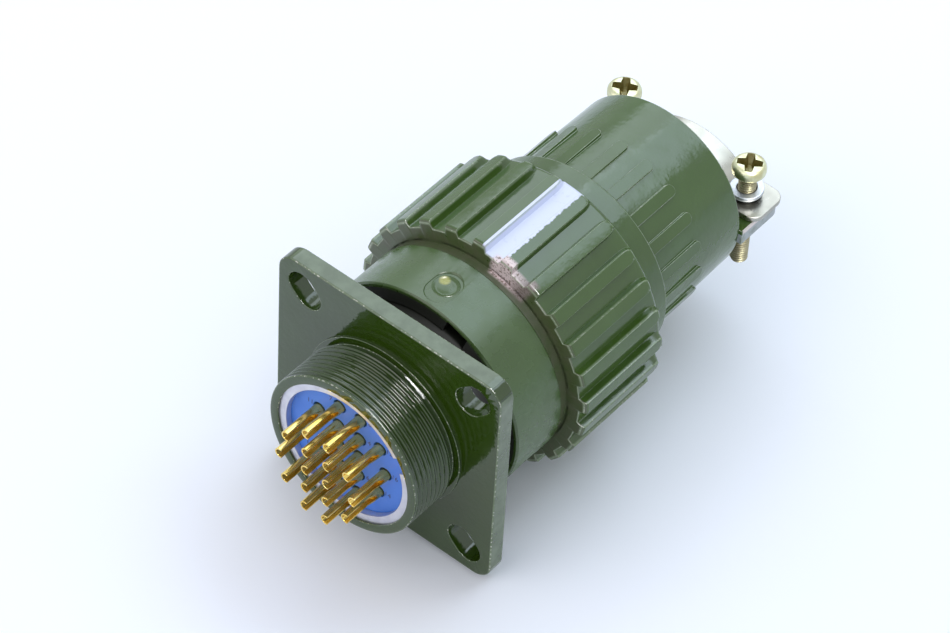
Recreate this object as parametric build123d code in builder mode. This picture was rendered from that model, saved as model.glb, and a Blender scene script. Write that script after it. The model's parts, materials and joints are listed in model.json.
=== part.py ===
from build123d import *
import os
from math import cos, radians, sin, sqrt

# Bayonet circular connector: a square-flange receptacle with the cable plug locked on it.
# Millimetres. X runs along the connector towards the cable, Z is up,
# and the origin is the centre of the flange's rear face, which bolts to the panel.

# Receptacle shell
flange_side = 42.0
flange_thickness = 3.0
flange_corner_radius = 3.2
flange_edge_chamfer = 0.25
slot_width = 4.9
slot_length = 6.7
slot_inset = 5.1
rear_barrel_inset = 1.2
rear_barrel_length = 9.6
rear_barrel_wall = 1.6
boss_step = 0.5
boss_length = 0.3
relief_depth = 0.8
relief_length = 1.3
web_front = 2.0
web_thickness = 3.0
web_lip = 1.6
front_barrel_radius = 15.2
front_barrel_wall = 2.0
front_barrel_end = 19.0
edge_break = 0.3

# Polarising keys on the plug's nose and the keyways that take them
master_key_width = 3.0
minor_key_width = 1.8
master_key_angle = 150
minor_key_angles = (20, 50, 240, 270)
key_height = 0.8
key_length = 10.0
key_side_clearance = 0.2

# Bayonet studs and the ramps they run in
stud_count = 3
first_stud_angle = 90
stud_radius = 1.7
stud_height = 2.5
stud_setback = 6.1
stud_tip_fillet = 0.5
ramp_turn = 100
ramp_travel = 2.2
ramp_side_clearance = 0.2
ramp_depth_clearance = 0.2
entry_side_clearance = 0.3
lock_hole_clearance = 0.3
window_length = 6.2
window_width = 4.7
window_depth = 0.3
window_offset = 0.5
window_chamfer = 0.25

# Coupling ring
collar_reach = 4.7
collar_wall = 0.53
collar_groove_depth = 0.53
collar_groove_width = 1.55
grip_length = 19.5
grip_step = 1.87
rib_count = 25
rib_height = 1.5
rib_top_width = 2.05
rib_base_width = 2.6
rib_edge_radius = 0.3
rib_front_round = 0.6
rib_rear_drop = 0.5
rib_rear_run = 1.4
ring_bore_clearance = 0.3
ring_front_gap = 1.0
spring_bore_clearance = 0.4
skirt_step = 0.4

# Plug shell
nose_clearance = 0.25
nose_front_gap = 1.5
nose_bore_clearance = 0.2
plug_flange_lip = 2.0
plug_flange_thickness = 2.5
plug_barrel_inset = 1.2
plug_barrel_length = 15.2
plug_barrel_wall = 2.0
running_gap = 0.3

# Spring, washer and snap ring that hold the coupling ring on the plug
wave_spring_clearance = 0.6
wave_spring_sheet = 0.4
wave_spring_amplitude = 0.75
wave_spring_waves = 3
wave_spring_steps = 24
thrust_washer_inner_clearance = 0.5
thrust_washer_outer_clearance = 0.2
thrust_washer_thickness = 0.95
snap_ring_seat = 0.9
snap_ring_width = 2.0
snap_ring_thickness = 1.1
ring_gap_angle = 8
snap_groove_clearance = 0.1
spring_gap = 0.15

# Inserts, seals and the rings that keep them in
insert_clearance = 0.05
retaining_ring_width = 1.25
retaining_ring_recess = 0.4
retaining_groove_depth = 0.4
retaining_ring_thickness = 1.2
retaining_ring_gap_angle = 14
retaining_ring_gap_at = 153
pin_insert_flange = 1.6
pin_face_height = 4.0
insert_face_gap = 1.0
socket_insert_rear_length = 11.0
socket_ring_width = 1.5
interface_seal_thickness = 0.7
gasket_width = 2.8
gasket_thickness = 1.2
gasket_clearance = 0.05

# Contacts
inner_column = 2.0
outer_column = 5.8
side_column = 7.0
inner_row = 3.9
outer_row = 8.0
side_row = 4.65
cup_radius = 0.92
cup_bore_radius = 0.68
cup_reach = 7.3
cup_depth = 6.5
cup_cut_offset = 0.3
cup_cut_length = 4.7
cup_cut_runout = 2.5
pin_radius = 0.5
pin_engagement = 6.0
pin_tip_chamfer = 0.3
contact_hole_clearance = 0.05
cup_hole_radius = 1.15
cup_hole_depth = 3.0
socket_radius = 0.95
socket_bore_radius = 0.6
socket_bore_spare = 1.5
socket_tail_radius = 0.75
socket_tail_reach = 5.0
socket_cup_bore_radius = 0.5
socket_cup_depth = 4.0
pin_passage_radius = 0.6

# Backshell
backshell_gap = 1.25
shoulder_clearance = 0.5
shoulder_length = 16.2
shoulder_step = 1.4
backshell_taper = 0.35
backshell_body_length = 20.3
backshell_wall = 2.1
rear_wall_thickness = 3.1
cable_hole_radius = 8.0
thread_clearance = 0.05
pad_count = 20
pad_width = 2.0
pad_height = 0.3
pad_reach = 10.1
pad_first_angle = 90

# Cable grommet
grommet_length = 7.5
grommet_bore_radius = 3.5
grommet_washer_thickness = 1.0
grommet_washer_bore = 4.0
soft_clearance = 0.1

# Cable clamp
saddle_length = 10.0
saddle_half_width = 16.2
saddle_thickness = 2.8
trough_half_width = 8.5
trough_depth = 3.6
trough_wall = 1.8
ear_corner_radius = 2.0
strap_length = 7.7
strap_half_width = 16.9
strap_thickness = 0.95
strap_rise = 3.6
strap_gap = 0.05
screw_setback = 4.0
screw_y = 12.2
screw_radius = 1.45
screw_hole_radius = 1.55
strap_hole_radius = 1.7
screw_tip = -13.3
screw_head_seat = 5.9
screw_head_height = 2.1
screw_head_radius = 2.75
screw_head_round = 1.6
screw_tip_chamfer = 0.4
recess_length = 3.9
recess_width = 1.0
recess_depth = 1.4
flat_washer_radius = 2.45
flat_washer_thickness = 0.5
spring_washer_outer = 2.7
spring_washer_inner = 1.6
spring_washer_thickness = 0.7
spring_washer_lift = 0.75
spring_washer_turn = 348

# Radii that follow, from the receptacle's barrels outwards
slot_circle = (flange_side / 2 - slot_inset) * sqrt(2)
rear_barrel_radius = front_barrel_radius - rear_barrel_inset
rear_bore_radius = rear_barrel_radius - rear_barrel_wall
boss_radius = rear_barrel_radius + boss_step
relief_radius = rear_barrel_radius - relief_depth
web_bore_radius = rear_bore_radius - web_lip
retaining_groove_radius = rear_bore_radius + retaining_groove_depth
retaining_ring_inner = rear_bore_radius - retaining_ring_width
front_bore_radius = front_barrel_radius - front_barrel_wall
gasket_outer = front_barrel_radius + gasket_width
nose_radius = front_bore_radius - nose_clearance
nose_bore_radius = web_bore_radius + nose_bore_clearance
keyway_radius = nose_radius + key_height + key_side_clearance
plug_flange_radius = front_barrel_radius + plug_flange_lip
plug_barrel_radius = front_barrel_radius - plug_barrel_inset
plug_bore_radius = plug_barrel_radius - plug_barrel_wall
socket_ring_inner = plug_bore_radius - socket_ring_width
stud_root_radius = front_bore_radius + key_side_clearance
stud_tip_radius = front_barrel_radius + stud_height
ramp_width = 2 * (stud_radius + ramp_side_clearance)
ramp_radius = stud_tip_radius + ramp_depth_clearance
lock_hole_radius = stud_radius + lock_hole_clearance
entry_width = 2 * (stud_radius + entry_side_clearance)
ring_bore_radius = front_barrel_radius + ring_bore_clearance
collar_radius = ramp_radius + collar_wall
collar_groove_radius = collar_radius - collar_groove_depth
valley_radius = collar_radius + grip_step
rib_radius = valley_radius + rib_height
grip_turning_radius = rib_radius + rib_height
spring_bore_radius = plug_flange_radius + spring_bore_clearance
skirt_bore_radius = spring_bore_radius + skirt_step
wave_spring_inner = plug_barrel_radius + wave_spring_clearance
wave_spring_outer = spring_bore_radius - wave_spring_clearance
thrust_washer_inner = plug_barrel_radius + thrust_washer_inner_clearance
thrust_washer_outer = spring_bore_radius - thrust_washer_outer_clearance
snap_ring_outer = spring_bore_radius + snap_ring_seat
snap_ring_inner = snap_ring_outer - snap_ring_width
shoulder_radius = skirt_bore_radius - shoulder_clearance
backshell_radius = shoulder_radius - shoulder_step
backshell_rear_radius = backshell_radius - backshell_taper
backshell_wall_inner = backshell_rear_radius - backshell_wall

# Places along the axis that follow, from the panel side to the cable
flange_front = flange_thickness
web_rear = web_front - web_thickness
retaining_ring_face = retaining_ring_recess - rear_barrel_length
pin_insert_face = retaining_ring_face + retaining_ring_thickness
pin_insert_split = web_rear - pin_insert_flange
cup_tip = pin_insert_face - cup_reach
pin_face = web_front + pin_face_height
nose_front = web_front + nose_front_gap
socket_insert_face = pin_face + insert_face_gap
seal_face = socket_insert_face - interface_seal_thickness
pin_tip = socket_insert_face + pin_engagement
socket_bore_end = pin_tip + socket_bore_spare
stud_x = front_barrel_end - stud_setback
ramp_start_x = stud_x - ramp_travel
window_x = stud_x - window_offset
collar_front = stud_x - collar_reach
grip_front = front_barrel_end + ring_front_gap
grip_end = grip_front + grip_length
collar_rear = grip_front - collar_groove_width
spring_bore_front = grip_front
socket_insert_step = spring_bore_front
socket_insert_end = socket_insert_step + socket_insert_rear_length
socket_tail_end = socket_insert_end + socket_tail_reach
plug_flange_front = spring_bore_front + running_gap
plug_flange_rear = plug_flange_front + plug_flange_thickness
plug_barrel_end = plug_flange_rear + plug_barrel_length
wave_height = 2 * wave_spring_amplitude + wave_spring_sheet
thrust_washer_front = plug_flange_rear + wave_height + 2 * spring_gap
thrust_washer_rear = thrust_washer_front + thrust_washer_thickness
snap_groove_front = thrust_washer_rear
snap_groove_rear = snap_groove_front + snap_ring_thickness + 2 * snap_groove_clearance
backshell_front = snap_groove_rear + backshell_gap
shoulder_end = backshell_front + shoulder_length
backshell_end = shoulder_end + backshell_body_length
rear_wall_front = backshell_end - rear_wall_thickness
saddle_end = backshell_end + saddle_length
strap_front = saddle_end - strap_length
screw_x = saddle_end - screw_setback

# Other sizes that follow
strap_top = strap_gap + strap_thickness
strap_outer_half_width = trough_half_width + strap_thickness / 2
washer_top = strap_top + flat_washer_thickness
stud_angles = [first_stud_angle + index * 360 / stud_count for index in range(stud_count)]
screw_sides = {"left": screw_y, "right": -screw_y}
contact_places = [
    (side * column, row)
    for column, rows in (
        (inner_column, (0, inner_row, -inner_row, outer_row, -outer_row)),
        (outer_column, (side_row, -side_row)),
        (side_column, (0,)),
    )
    for row in rows
    for side in (1, -1)
]


# Every piece is kept here under its name
pieces = {}


def turned(*corners):
    """Solid of revolution about the connector's axis, from (x, radius) corners."""
    with BuildPart() as body:
        with BuildSketch(Plane.XY):
            with BuildLine():
                Polyline(*corners, close=True)
            make_face()
        revolve(axis=Axis.X)
    return body.part


def tube(start, end, outer, inner=0.0):
    """Plain tube along the connector's axis, or a rod where there is no inner radius."""
    with BuildPart() as body:
        with BuildSketch(Plane.YZ.offset(start)):
            Circle(outer)
            if inner > 0:
                Circle(inner, mode=Mode.SUBTRACT)
        extrude(amount=end - start)
    return body.part


def split_ring(start, end, outer, inner, gap_at, gap_angle):
    """Flat ring with a gap, as wide as the angle says."""
    reach = 2 * outer
    edges = [radians(gap_at - gap_angle / 2), radians(gap_at + gap_angle / 2)]
    with BuildPart() as body:
        with BuildSketch(Plane.YZ.offset(start)):
            Circle(outer)
            Circle(inner, mode=Mode.SUBTRACT)
            Polygon(
                (0, 0),
                (reach * cos(edges[0]), reach * sin(edges[0])),
                (reach * cos(edges[1]), reach * sin(edges[1])),
                align=None,
                mode=Mode.SUBTRACT,
            )
        extrude(amount=end - start)
    return body.part


def key_bars(start, end, root, top, extra_width):
    """The five bars that stand out as keys, or that cut the keyways."""
    widths = [(master_key_angle, master_key_width)]
    widths += [(angle, minor_key_width) for angle in minor_key_angles]
    with BuildPart() as bars:
        for angle, width in widths:
            with BuildSketch(Plane.YZ.offset(start)):
                with PolarLocations((root + top) / 2, 1, start_angle=angle):
                    Rectangle(top - root, width + extra_width)
            extrude(amount=end - start)
    return bars.part


def contact_holes(start, end, radius):
    """A rod at each contact's place, to drill the inserts with."""
    with BuildPart() as rods:
        with BuildSketch(Plane.YZ.offset(start)):
            with Locations(*contact_places):
                Circle(radius)
        extrude(amount=end - start)
    return rods.part


def radial_plane(angle, radius, x):
    """Plane that looks outwards at an angle about the axis, with its x along the axis."""
    outward = (0, cos(radians(angle)), sin(radians(angle)))
    return Plane(
        origin=(x, radius * outward[1], radius * outward[2]), x_dir=(1, 0, 0), z_dir=outward
    )


def bayonet_cutter(lock_angle):
    """Entry slot, helical ramp, locking hole and the shallow window round it for one stud."""
    start_angle = lock_angle - ramp_turn
    middle = (ring_bore_radius + ramp_radius) / 2 - running_gap
    depth = ramp_radius - ring_bore_radius + 2 * running_gap
    first = radians(start_angle)
    start_plane = Plane(
        origin=(ramp_start_x, 0, 0), x_dir=(0, cos(first), sin(first)), z_dir=(1, 0, 0)
    )
    with BuildPart() as cutter:
        with BuildLine() as path:
            helix = Helix(
                pitch=ramp_travel * 360 / ramp_turn,
                height=ramp_travel,
                radius=middle,
                mode=Mode.PRIVATE,
            )
            add(start_plane.location * helix)
        start = path.line @ 0
        slope = path.line % 0
        with BuildSketch(Plane(origin=start, x_dir=(0, cos(first), sin(first)), z_dir=slope)):
            Rectangle(depth, ramp_width)
        sweep(path=path.line, is_frenet=True)
        with BuildSketch(radial_plane(start_angle, middle - depth / 2, collar_front)):
            SlotOverall(2 * (ramp_start_x - collar_front) + entry_width, entry_width)
        extrude(amount=depth)
        with BuildSketch(radial_plane(lock_angle, middle - depth / 2, stud_x)):
            Circle(lock_hole_radius)
        extrude(amount=depth + collar_radius - ring_bore_radius)
        with BuildSketch(radial_plane(lock_angle, collar_radius - window_depth, window_x)):
            SlotOverall(window_length, window_width)
        extrude(amount=2 * window_depth)
        with BuildSketch(radial_plane(lock_angle, collar_radius - window_chamfer, window_x)):
            SlotOverall(window_length, window_width)
        extrude(amount=2 * window_chamfer, taper=-45)
    return cutter.part


# Receptacle shell: square flange, threaded rear barrel and bayonet barrel in one piece
with BuildPart() as receptacle_shell:
    with BuildSketch(Plane.YZ):
        Rectangle(flange_side, flange_side)
        fillet(vertices(), flange_corner_radius)
        with PolarLocations(slot_circle, 4, start_angle=45):
            SlotOverall(slot_length, slot_width, mode=Mode.SUBTRACT)
    extrude(amount=flange_thickness)
    flange_faces = faces().filter_by(Axis.X)
    chamfer([face.outer_wire().edges() for face in flange_faces], flange_edge_chamfer)
    add(turned(
        (-rear_barrel_length, 0),
        (-rear_barrel_length, rear_barrel_radius - edge_break),
        (edge_break - rear_barrel_length, rear_barrel_radius),
        (-boss_length - relief_length, rear_barrel_radius),
        (-boss_length - relief_length, relief_radius),
        (-boss_length, relief_radius),
        (-boss_length, boss_radius),
        (0, boss_radius),
        (0, front_barrel_radius),
        (front_barrel_end - edge_break, front_barrel_radius),
        (front_barrel_end, front_barrel_radius - edge_break),
        (front_barrel_end, 0),
    ))
    add(turned(
        (-rear_barrel_length, 0),
        (-rear_barrel_length, rear_bore_radius),
        (retaining_ring_face - insert_clearance, rear_bore_radius),
        (retaining_ring_face - insert_clearance, retaining_groove_radius),
        (pin_insert_face + insert_clearance, retaining_groove_radius),
        (pin_insert_face + insert_clearance, rear_bore_radius),
        (web_rear, rear_bore_radius),
        (web_rear, web_bore_radius),
        (web_front, web_bore_radius),
        (web_front, front_bore_radius),
        (front_barrel_end, front_bore_radius),
        (front_barrel_end, 0),
    ), mode=Mode.SUBTRACT)
    add(
        key_bars(web_front, front_barrel_end, nose_bore_radius, keyway_radius, 2 * key_side_clearance),
        mode=Mode.SUBTRACT,
    )
    for lock_angle in stud_angles:
        with BuildSketch(radial_plane(lock_angle, nose_radius, stud_x)):
            Circle(stud_radius)
        extrude(amount=front_barrel_radius, mode=Mode.SUBTRACT)
pieces["receptacle_shell"] = receptacle_shell

# Three studs pressed into the bayonet barrel, with rounded heads
for index, lock_angle in enumerate(stud_angles, start=1):
    with BuildPart() as bayonet_stud:
        with BuildSketch(radial_plane(lock_angle, stud_root_radius, stud_x)):
            Circle(stud_radius)
        extrude(amount=stud_tip_radius - stud_root_radius)
        outward = Vector(0, cos(radians(lock_angle)), sin(radians(lock_angle)))
        fillet(edges().filter_by(GeomType.CIRCLE).sort_by(Axis((0, 0, 0), outward))[-1], stud_tip_fillet)
    pieces[f"bayonet_stud_{index}"] = bayonet_stud

# Flat rubber gasket round the root of the bayonet barrel
with BuildPart() as receptacle_gasket:
    add(tube(
        flange_front,
        flange_front + gasket_thickness,
        gasket_outer,
        front_barrel_radius + gasket_clearance,
    ))
pieces["receptacle_gasket"] = receptacle_gasket

# Pin insert in two halves, which trap the pins' shoulders between them
with BuildPart() as pin_insert_rear:
    add(tube(pin_insert_face, pin_insert_split, rear_bore_radius - insert_clearance))
    add(
        contact_holes(pin_insert_face, pin_insert_split, cup_radius + contact_hole_clearance),
        mode=Mode.SUBTRACT,
    )
    add(
        contact_holes(pin_insert_face, pin_insert_face + cup_hole_depth, cup_hole_radius),
        mode=Mode.SUBTRACT,
    )
pieces["pin_insert_rear"] = pin_insert_rear

with BuildPart() as pin_insert_front:
    add(tube(pin_insert_split, web_rear, rear_bore_radius - insert_clearance))
    add(tube(web_rear, pin_face, web_bore_radius - insert_clearance))
    add(
        contact_holes(pin_insert_split, pin_face, pin_radius + contact_hole_clearance),
        mode=Mode.SUBTRACT,
    )
pieces["pin_insert_front"] = pin_insert_front

# Split ring in the rear barrel's groove, which keeps the pin insert in
with BuildPart() as insert_retaining_ring:
    add(split_ring(
        retaining_ring_face,
        pin_insert_face,
        retaining_groove_radius - insert_clearance,
        retaining_ring_inner,
        retaining_ring_gap_at,
        retaining_ring_gap_angle,
    ))
pieces["insert_retaining_ring"] = insert_retaining_ring

# Pin contacts: solder cup cut open towards -Y, shoulder, and pin with a broken edge
for index, (place_y, place_z) in enumerate(contact_places, start=1):
    with BuildPart() as pin_contact:
        with BuildSketch(Plane.YZ.offset(cup_tip)):
            with Locations((place_y, place_z)):
                Circle(cup_radius)
        extrude(amount=pin_insert_split - cup_tip)
        with BuildSketch(Plane.YZ.offset(pin_insert_split)):
            with Locations((place_y, place_z)):
                Circle(pin_radius)
        extrude(amount=pin_tip - pin_insert_split)
        chamfer(edges().filter_by(GeomType.CIRCLE).sort_by(Axis.X)[-1], pin_tip_chamfer)
        with BuildSketch(Plane.YZ.offset(cup_tip)):
            with Locations((place_y, place_z)):
                Circle(cup_bore_radius)
        extrude(amount=cup_depth, mode=Mode.SUBTRACT)
        with BuildSketch(Plane.XY.offset(place_z)):
            Polygon(
                (cup_tip, place_y - cup_cut_offset),
                (cup_tip + cup_cut_length, place_y - cup_cut_offset),
                (cup_tip + cup_cut_length + cup_cut_runout, place_y - cup_radius),
                (cup_tip, place_y - cup_radius),
                align=None,
            )
        extrude(amount=cup_radius, both=True, mode=Mode.SUBTRACT)
    pieces[f"pin_contact_{index:02d}"] = pin_contact

# Plug shell: keyed nose, flange that the coupling ring turns on, and threaded rear barrel
with BuildPart() as plug_shell:
    add(turned(
        (nose_front, nose_bore_radius),
        (nose_front, nose_radius - edge_break),
        (nose_front + edge_break, nose_radius),
        (plug_flange_front, nose_radius),
        (plug_flange_front, plug_flange_radius),
        (plug_flange_rear, plug_flange_radius),
        (plug_flange_rear, plug_barrel_radius),
        (plug_barrel_end - edge_break, plug_barrel_radius),
        (plug_barrel_end, plug_barrel_radius - edge_break),
        (plug_barrel_end, plug_bore_radius),
        (socket_insert_step, plug_bore_radius),
        (socket_insert_step, nose_bore_radius),
    ))
    key_root = nose_radius - edge_break
    add(key_bars(nose_front, nose_front + key_length, key_root, nose_radius + key_height, 0))
    add(tube(nose_front, socket_insert_step, nose_bore_radius), mode=Mode.SUBTRACT)
pieces["plug_shell"] = plug_shell

# Socket insert in two halves, with the rubber seal on its face
with BuildPart() as interface_seal:
    add(tube(seal_face, socket_insert_face, nose_bore_radius - insert_clearance))
    add(contact_holes(seal_face, socket_insert_face, pin_passage_radius), mode=Mode.SUBTRACT)
pieces["interface_seal"] = interface_seal

with BuildPart() as socket_insert_front:
    add(tube(socket_insert_face, socket_insert_step, nose_bore_radius - insert_clearance))
    add(
        contact_holes(socket_insert_face, socket_insert_step, socket_radius + contact_hole_clearance),
        mode=Mode.SUBTRACT,
    )
pieces["socket_insert_front"] = socket_insert_front

with BuildPart() as socket_insert_rear:
    add(tube(socket_insert_step, socket_insert_end, plug_bore_radius - insert_clearance))
    add(
        contact_holes(socket_insert_step, socket_insert_end, socket_tail_radius + contact_hole_clearance),
        mode=Mode.SUBTRACT,
    )
pieces["socket_insert_rear"] = socket_insert_rear

with BuildPart() as socket_retaining_ring:
    add(split_ring(
        socket_insert_end,
        socket_insert_end + retaining_ring_thickness,
        plug_bore_radius - insert_clearance,
        socket_ring_inner,
        retaining_ring_gap_at,
        retaining_ring_gap_angle,
    ))
pieces["socket_retaining_ring"] = socket_retaining_ring

# Socket contacts: bored front that takes the pin, shoulder, and tail with a solder bore
for index, (place_y, place_z) in enumerate(contact_places, start=1):
    with BuildPart() as socket_contact:
        for start, end, radius, mode in (
            (socket_insert_face, socket_insert_step, socket_radius, Mode.ADD),
            (socket_insert_step, socket_tail_end, socket_tail_radius, Mode.ADD),
            (socket_insert_face, socket_bore_end, socket_bore_radius, Mode.SUBTRACT),
            (socket_tail_end - socket_cup_depth, socket_tail_end, socket_cup_bore_radius, Mode.SUBTRACT),
        ):
            with BuildSketch(Plane.YZ.offset(start)):
                with Locations((place_y, place_z)):
                    Circle(radius)
            extrude(amount=end - start, mode=mode)
    pieces[f"socket_contact_{index:02d}"] = socket_contact

# Coupling ring: plain collar, ribbed grip, and the bayonet ramps inside
with BuildPart() as coupling_ring:
    with BuildSketch(Plane.YZ.offset(grip_front)):
        Circle(valley_radius)
        with PolarLocations(0, rib_count, start_angle=first_stud_angle):
            Polygon(
                (collar_radius, -rib_base_width / 2),
                (valley_radius, -rib_base_width / 2),
                (rib_radius, -rib_top_width / 2),
                (rib_radius, rib_top_width / 2),
                (valley_radius, rib_base_width / 2),
                (collar_radius, rib_base_width / 2),
                align=None,
            )
        fillet(vertices().group_by(SortBy.DISTANCE)[-1], rib_edge_radius)
    extrude(amount=grip_length)
    add(turned(
        (grip_front, 0),
        (grip_front, rib_radius - rib_front_round),
        (grip_front + rib_front_round, grip_turning_radius),
        (grip_end - rib_rear_run, grip_turning_radius),
        (grip_end - rib_rear_run, rib_radius),
        (grip_end, rib_radius - rib_rear_drop),
        (grip_end, 0),
    ), mode=Mode.INTERSECT)
    add(turned(
        (collar_front, 0),
        (collar_front, collar_radius - edge_break),
        (collar_front + edge_break, collar_radius),
        (collar_rear - edge_break, collar_radius),
        (collar_rear, collar_radius - edge_break),
        (collar_rear, collar_groove_radius),
        (grip_front, collar_groove_radius),
        (grip_front, 0),
    ))
    add(turned(
        (collar_front, 0),
        (collar_front, ring_bore_radius),
        (spring_bore_front, ring_bore_radius),
        (spring_bore_front, spring_bore_radius),
        (snap_groove_front, spring_bore_radius),
        (snap_groove_front, snap_ring_outer + snap_groove_clearance),
        (snap_groove_rear, snap_ring_outer + snap_groove_clearance),
        (snap_groove_rear, skirt_bore_radius),
        (grip_end, skirt_bore_radius),
        (grip_end, 0),
    ), mode=Mode.SUBTRACT)
    for lock_angle in stud_angles:
        add(bayonet_cutter(lock_angle), mode=Mode.SUBTRACT)
pieces["coupling_ring"] = coupling_ring

# Wave spring between the plug's flange and the thrust washer: one wavy turn with a gap
with BuildPart() as wave_spring:
    wave_middle = (wave_spring_inner + wave_spring_outer) / 2
    wave_centre = plug_flange_rear + spring_gap + wave_height / 2
    wave_points = []
    for step in range(wave_spring_steps + 1):
        turn = radians(ring_gap_angle / 2 + (360 - ring_gap_angle) * step / wave_spring_steps)
        wave_x = wave_centre + wave_spring_amplitude * sin(wave_spring_waves * turn)
        wave_points.append((wave_x, wave_middle * cos(turn), wave_middle * sin(turn)))
    with BuildLine() as wave_path:
        Spline(*wave_points)
    start = wave_path.line @ 0
    with BuildSketch(Plane(origin=start, x_dir=(0, start.Y, start.Z), z_dir=wave_path.line % 0)):
        Rectangle(wave_spring_outer - wave_spring_inner, wave_spring_sheet)
    sweep(path=wave_path.line)
pieces["wave_spring"] = wave_spring

with BuildPart() as thrust_washer:
    add(tube(thrust_washer_front, thrust_washer_rear, thrust_washer_outer, thrust_washer_inner))
pieces["thrust_washer"] = thrust_washer

with BuildPart() as snap_ring:
    add(split_ring(
        snap_groove_front + snap_groove_clearance,
        snap_groove_rear - snap_groove_clearance,
        snap_ring_outer,
        snap_ring_inner,
        -first_stud_angle,
        ring_gap_angle,
    ))
pieces["snap_ring"] = snap_ring

# Backshell: shoulder inside the ring's skirt, body with raised grip pads, and cable saddle
with BuildPart() as backshell:
    add(turned(
        (backshell_front, 0),
        (backshell_front, shoulder_radius - edge_break),
        (backshell_front + edge_break, shoulder_radius),
        (shoulder_end - edge_break, shoulder_radius),
        (shoulder_end, shoulder_radius - edge_break),
        (shoulder_end, backshell_radius),
        (backshell_end - edge_break, backshell_rear_radius),
        (backshell_end, backshell_rear_radius - edge_break),
        (backshell_end, 0),
    ))
    for index in range(pad_count):
        pad_angle = pad_first_angle + index * 360 / pad_count
        with BuildSketch(radial_plane(pad_angle, backshell_wall_inner, shoulder_end)):
            SlotOverall(2 * pad_reach, pad_width)
        extrude(amount=backshell_radius + pad_height - backshell_wall_inner)
    with BuildSketch(Plane.YZ.offset(backshell_end)):
        with BuildLine():
            Polyline(
                (-trough_half_width, 0),
                (-saddle_half_width, 0),
                (-saddle_half_width, -saddle_thickness),
                (-trough_half_width, -saddle_thickness),
            )
            ThreePointArc(
                (-trough_half_width, -saddle_thickness),
                (0, -trough_depth - trough_wall),
                (trough_half_width, -saddle_thickness),
            )
            Polyline(
                (trough_half_width, -saddle_thickness),
                (saddle_half_width, -saddle_thickness),
                (saddle_half_width, 0),
                (trough_half_width, 0),
            )
            ThreePointArc((trough_half_width, 0), (0, -trough_depth), (-trough_half_width, 0))
        make_face()
    extrude(amount=saddle_end - backshell_end)
    fillet(edges().filter_by(Axis.Z).sort_by(Axis.X)[-2:], ear_corner_radius)
    add(turned(
        (backshell_front, 0),
        (backshell_front, plug_barrel_radius + thread_clearance),
        (plug_barrel_end, plug_barrel_radius + thread_clearance),
        (plug_barrel_end, backshell_wall_inner),
        (rear_wall_front, backshell_wall_inner),
        (rear_wall_front, cable_hole_radius),
        (backshell_end, cable_hole_radius),
        (backshell_end, 0),
    ), mode=Mode.SUBTRACT)
    with BuildSketch(Plane.XY):
        with Locations((screw_x, screw_y), (screw_x, -screw_y)):
            Circle(screw_hole_radius)
    extrude(amount=-trough_depth - trough_wall, mode=Mode.SUBTRACT)
pieces["backshell"] = backshell

# Rubber grommet against the rear wall, its neck in the wall's hole, and its washer
with BuildPart() as cable_grommet:
    add(turned(
        (rear_wall_front - grommet_length, grommet_bore_radius),
        (rear_wall_front - grommet_length, backshell_wall_inner - soft_clearance),
        (rear_wall_front, backshell_wall_inner - soft_clearance),
        (rear_wall_front, cable_hole_radius - soft_clearance),
        (backshell_end, cable_hole_radius - soft_clearance),
        (backshell_end, grommet_bore_radius),
    ))
pieces["cable_grommet"] = cable_grommet

with BuildPart() as grommet_washer:
    add(tube(
        rear_wall_front - grommet_length - grommet_washer_thickness,
        rear_wall_front - grommet_length,
        backshell_wall_inner - soft_clearance,
        grommet_washer_bore,
    ))
pieces["grommet_washer"] = grommet_washer

# Clamp strap: sheet with two flat ears and an arch over the cable
with BuildPart() as clamp_strap:
    with BuildSketch(Plane.YZ.offset(strap_front)):
        with BuildLine():
            Polyline(
                (-trough_half_width, strap_gap),
                (-strap_half_width, strap_gap),
                (-strap_half_width, strap_top),
                (-strap_outer_half_width, strap_top),
            )
            ThreePointArc(
                (-strap_outer_half_width, strap_top),
                (0, strap_top + strap_rise),
                (strap_outer_half_width, strap_top),
            )
            Polyline(
                (strap_outer_half_width, strap_top),
                (strap_half_width, strap_top),
                (strap_half_width, strap_gap),
                (trough_half_width, strap_gap),
            )
            ThreePointArc(
                (trough_half_width, strap_gap),
                (0, strap_gap + strap_rise),
                (-trough_half_width, strap_gap),
            )
        make_face()
    extrude(amount=saddle_end - strap_front)
    strap_corners = edges().filter_by(Axis.Z).sort_by(Axis.Y)
    fillet(strap_corners[:2] + strap_corners[-2:], ear_corner_radius)
    with BuildSketch(Plane.XY):
        with Locations((screw_x, screw_y), (screw_x, -screw_y)):
            Circle(strap_hole_radius)
    extrude(amount=strap_top, mode=Mode.SUBTRACT)
pieces["clamp_strap"] = clamp_strap

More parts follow.
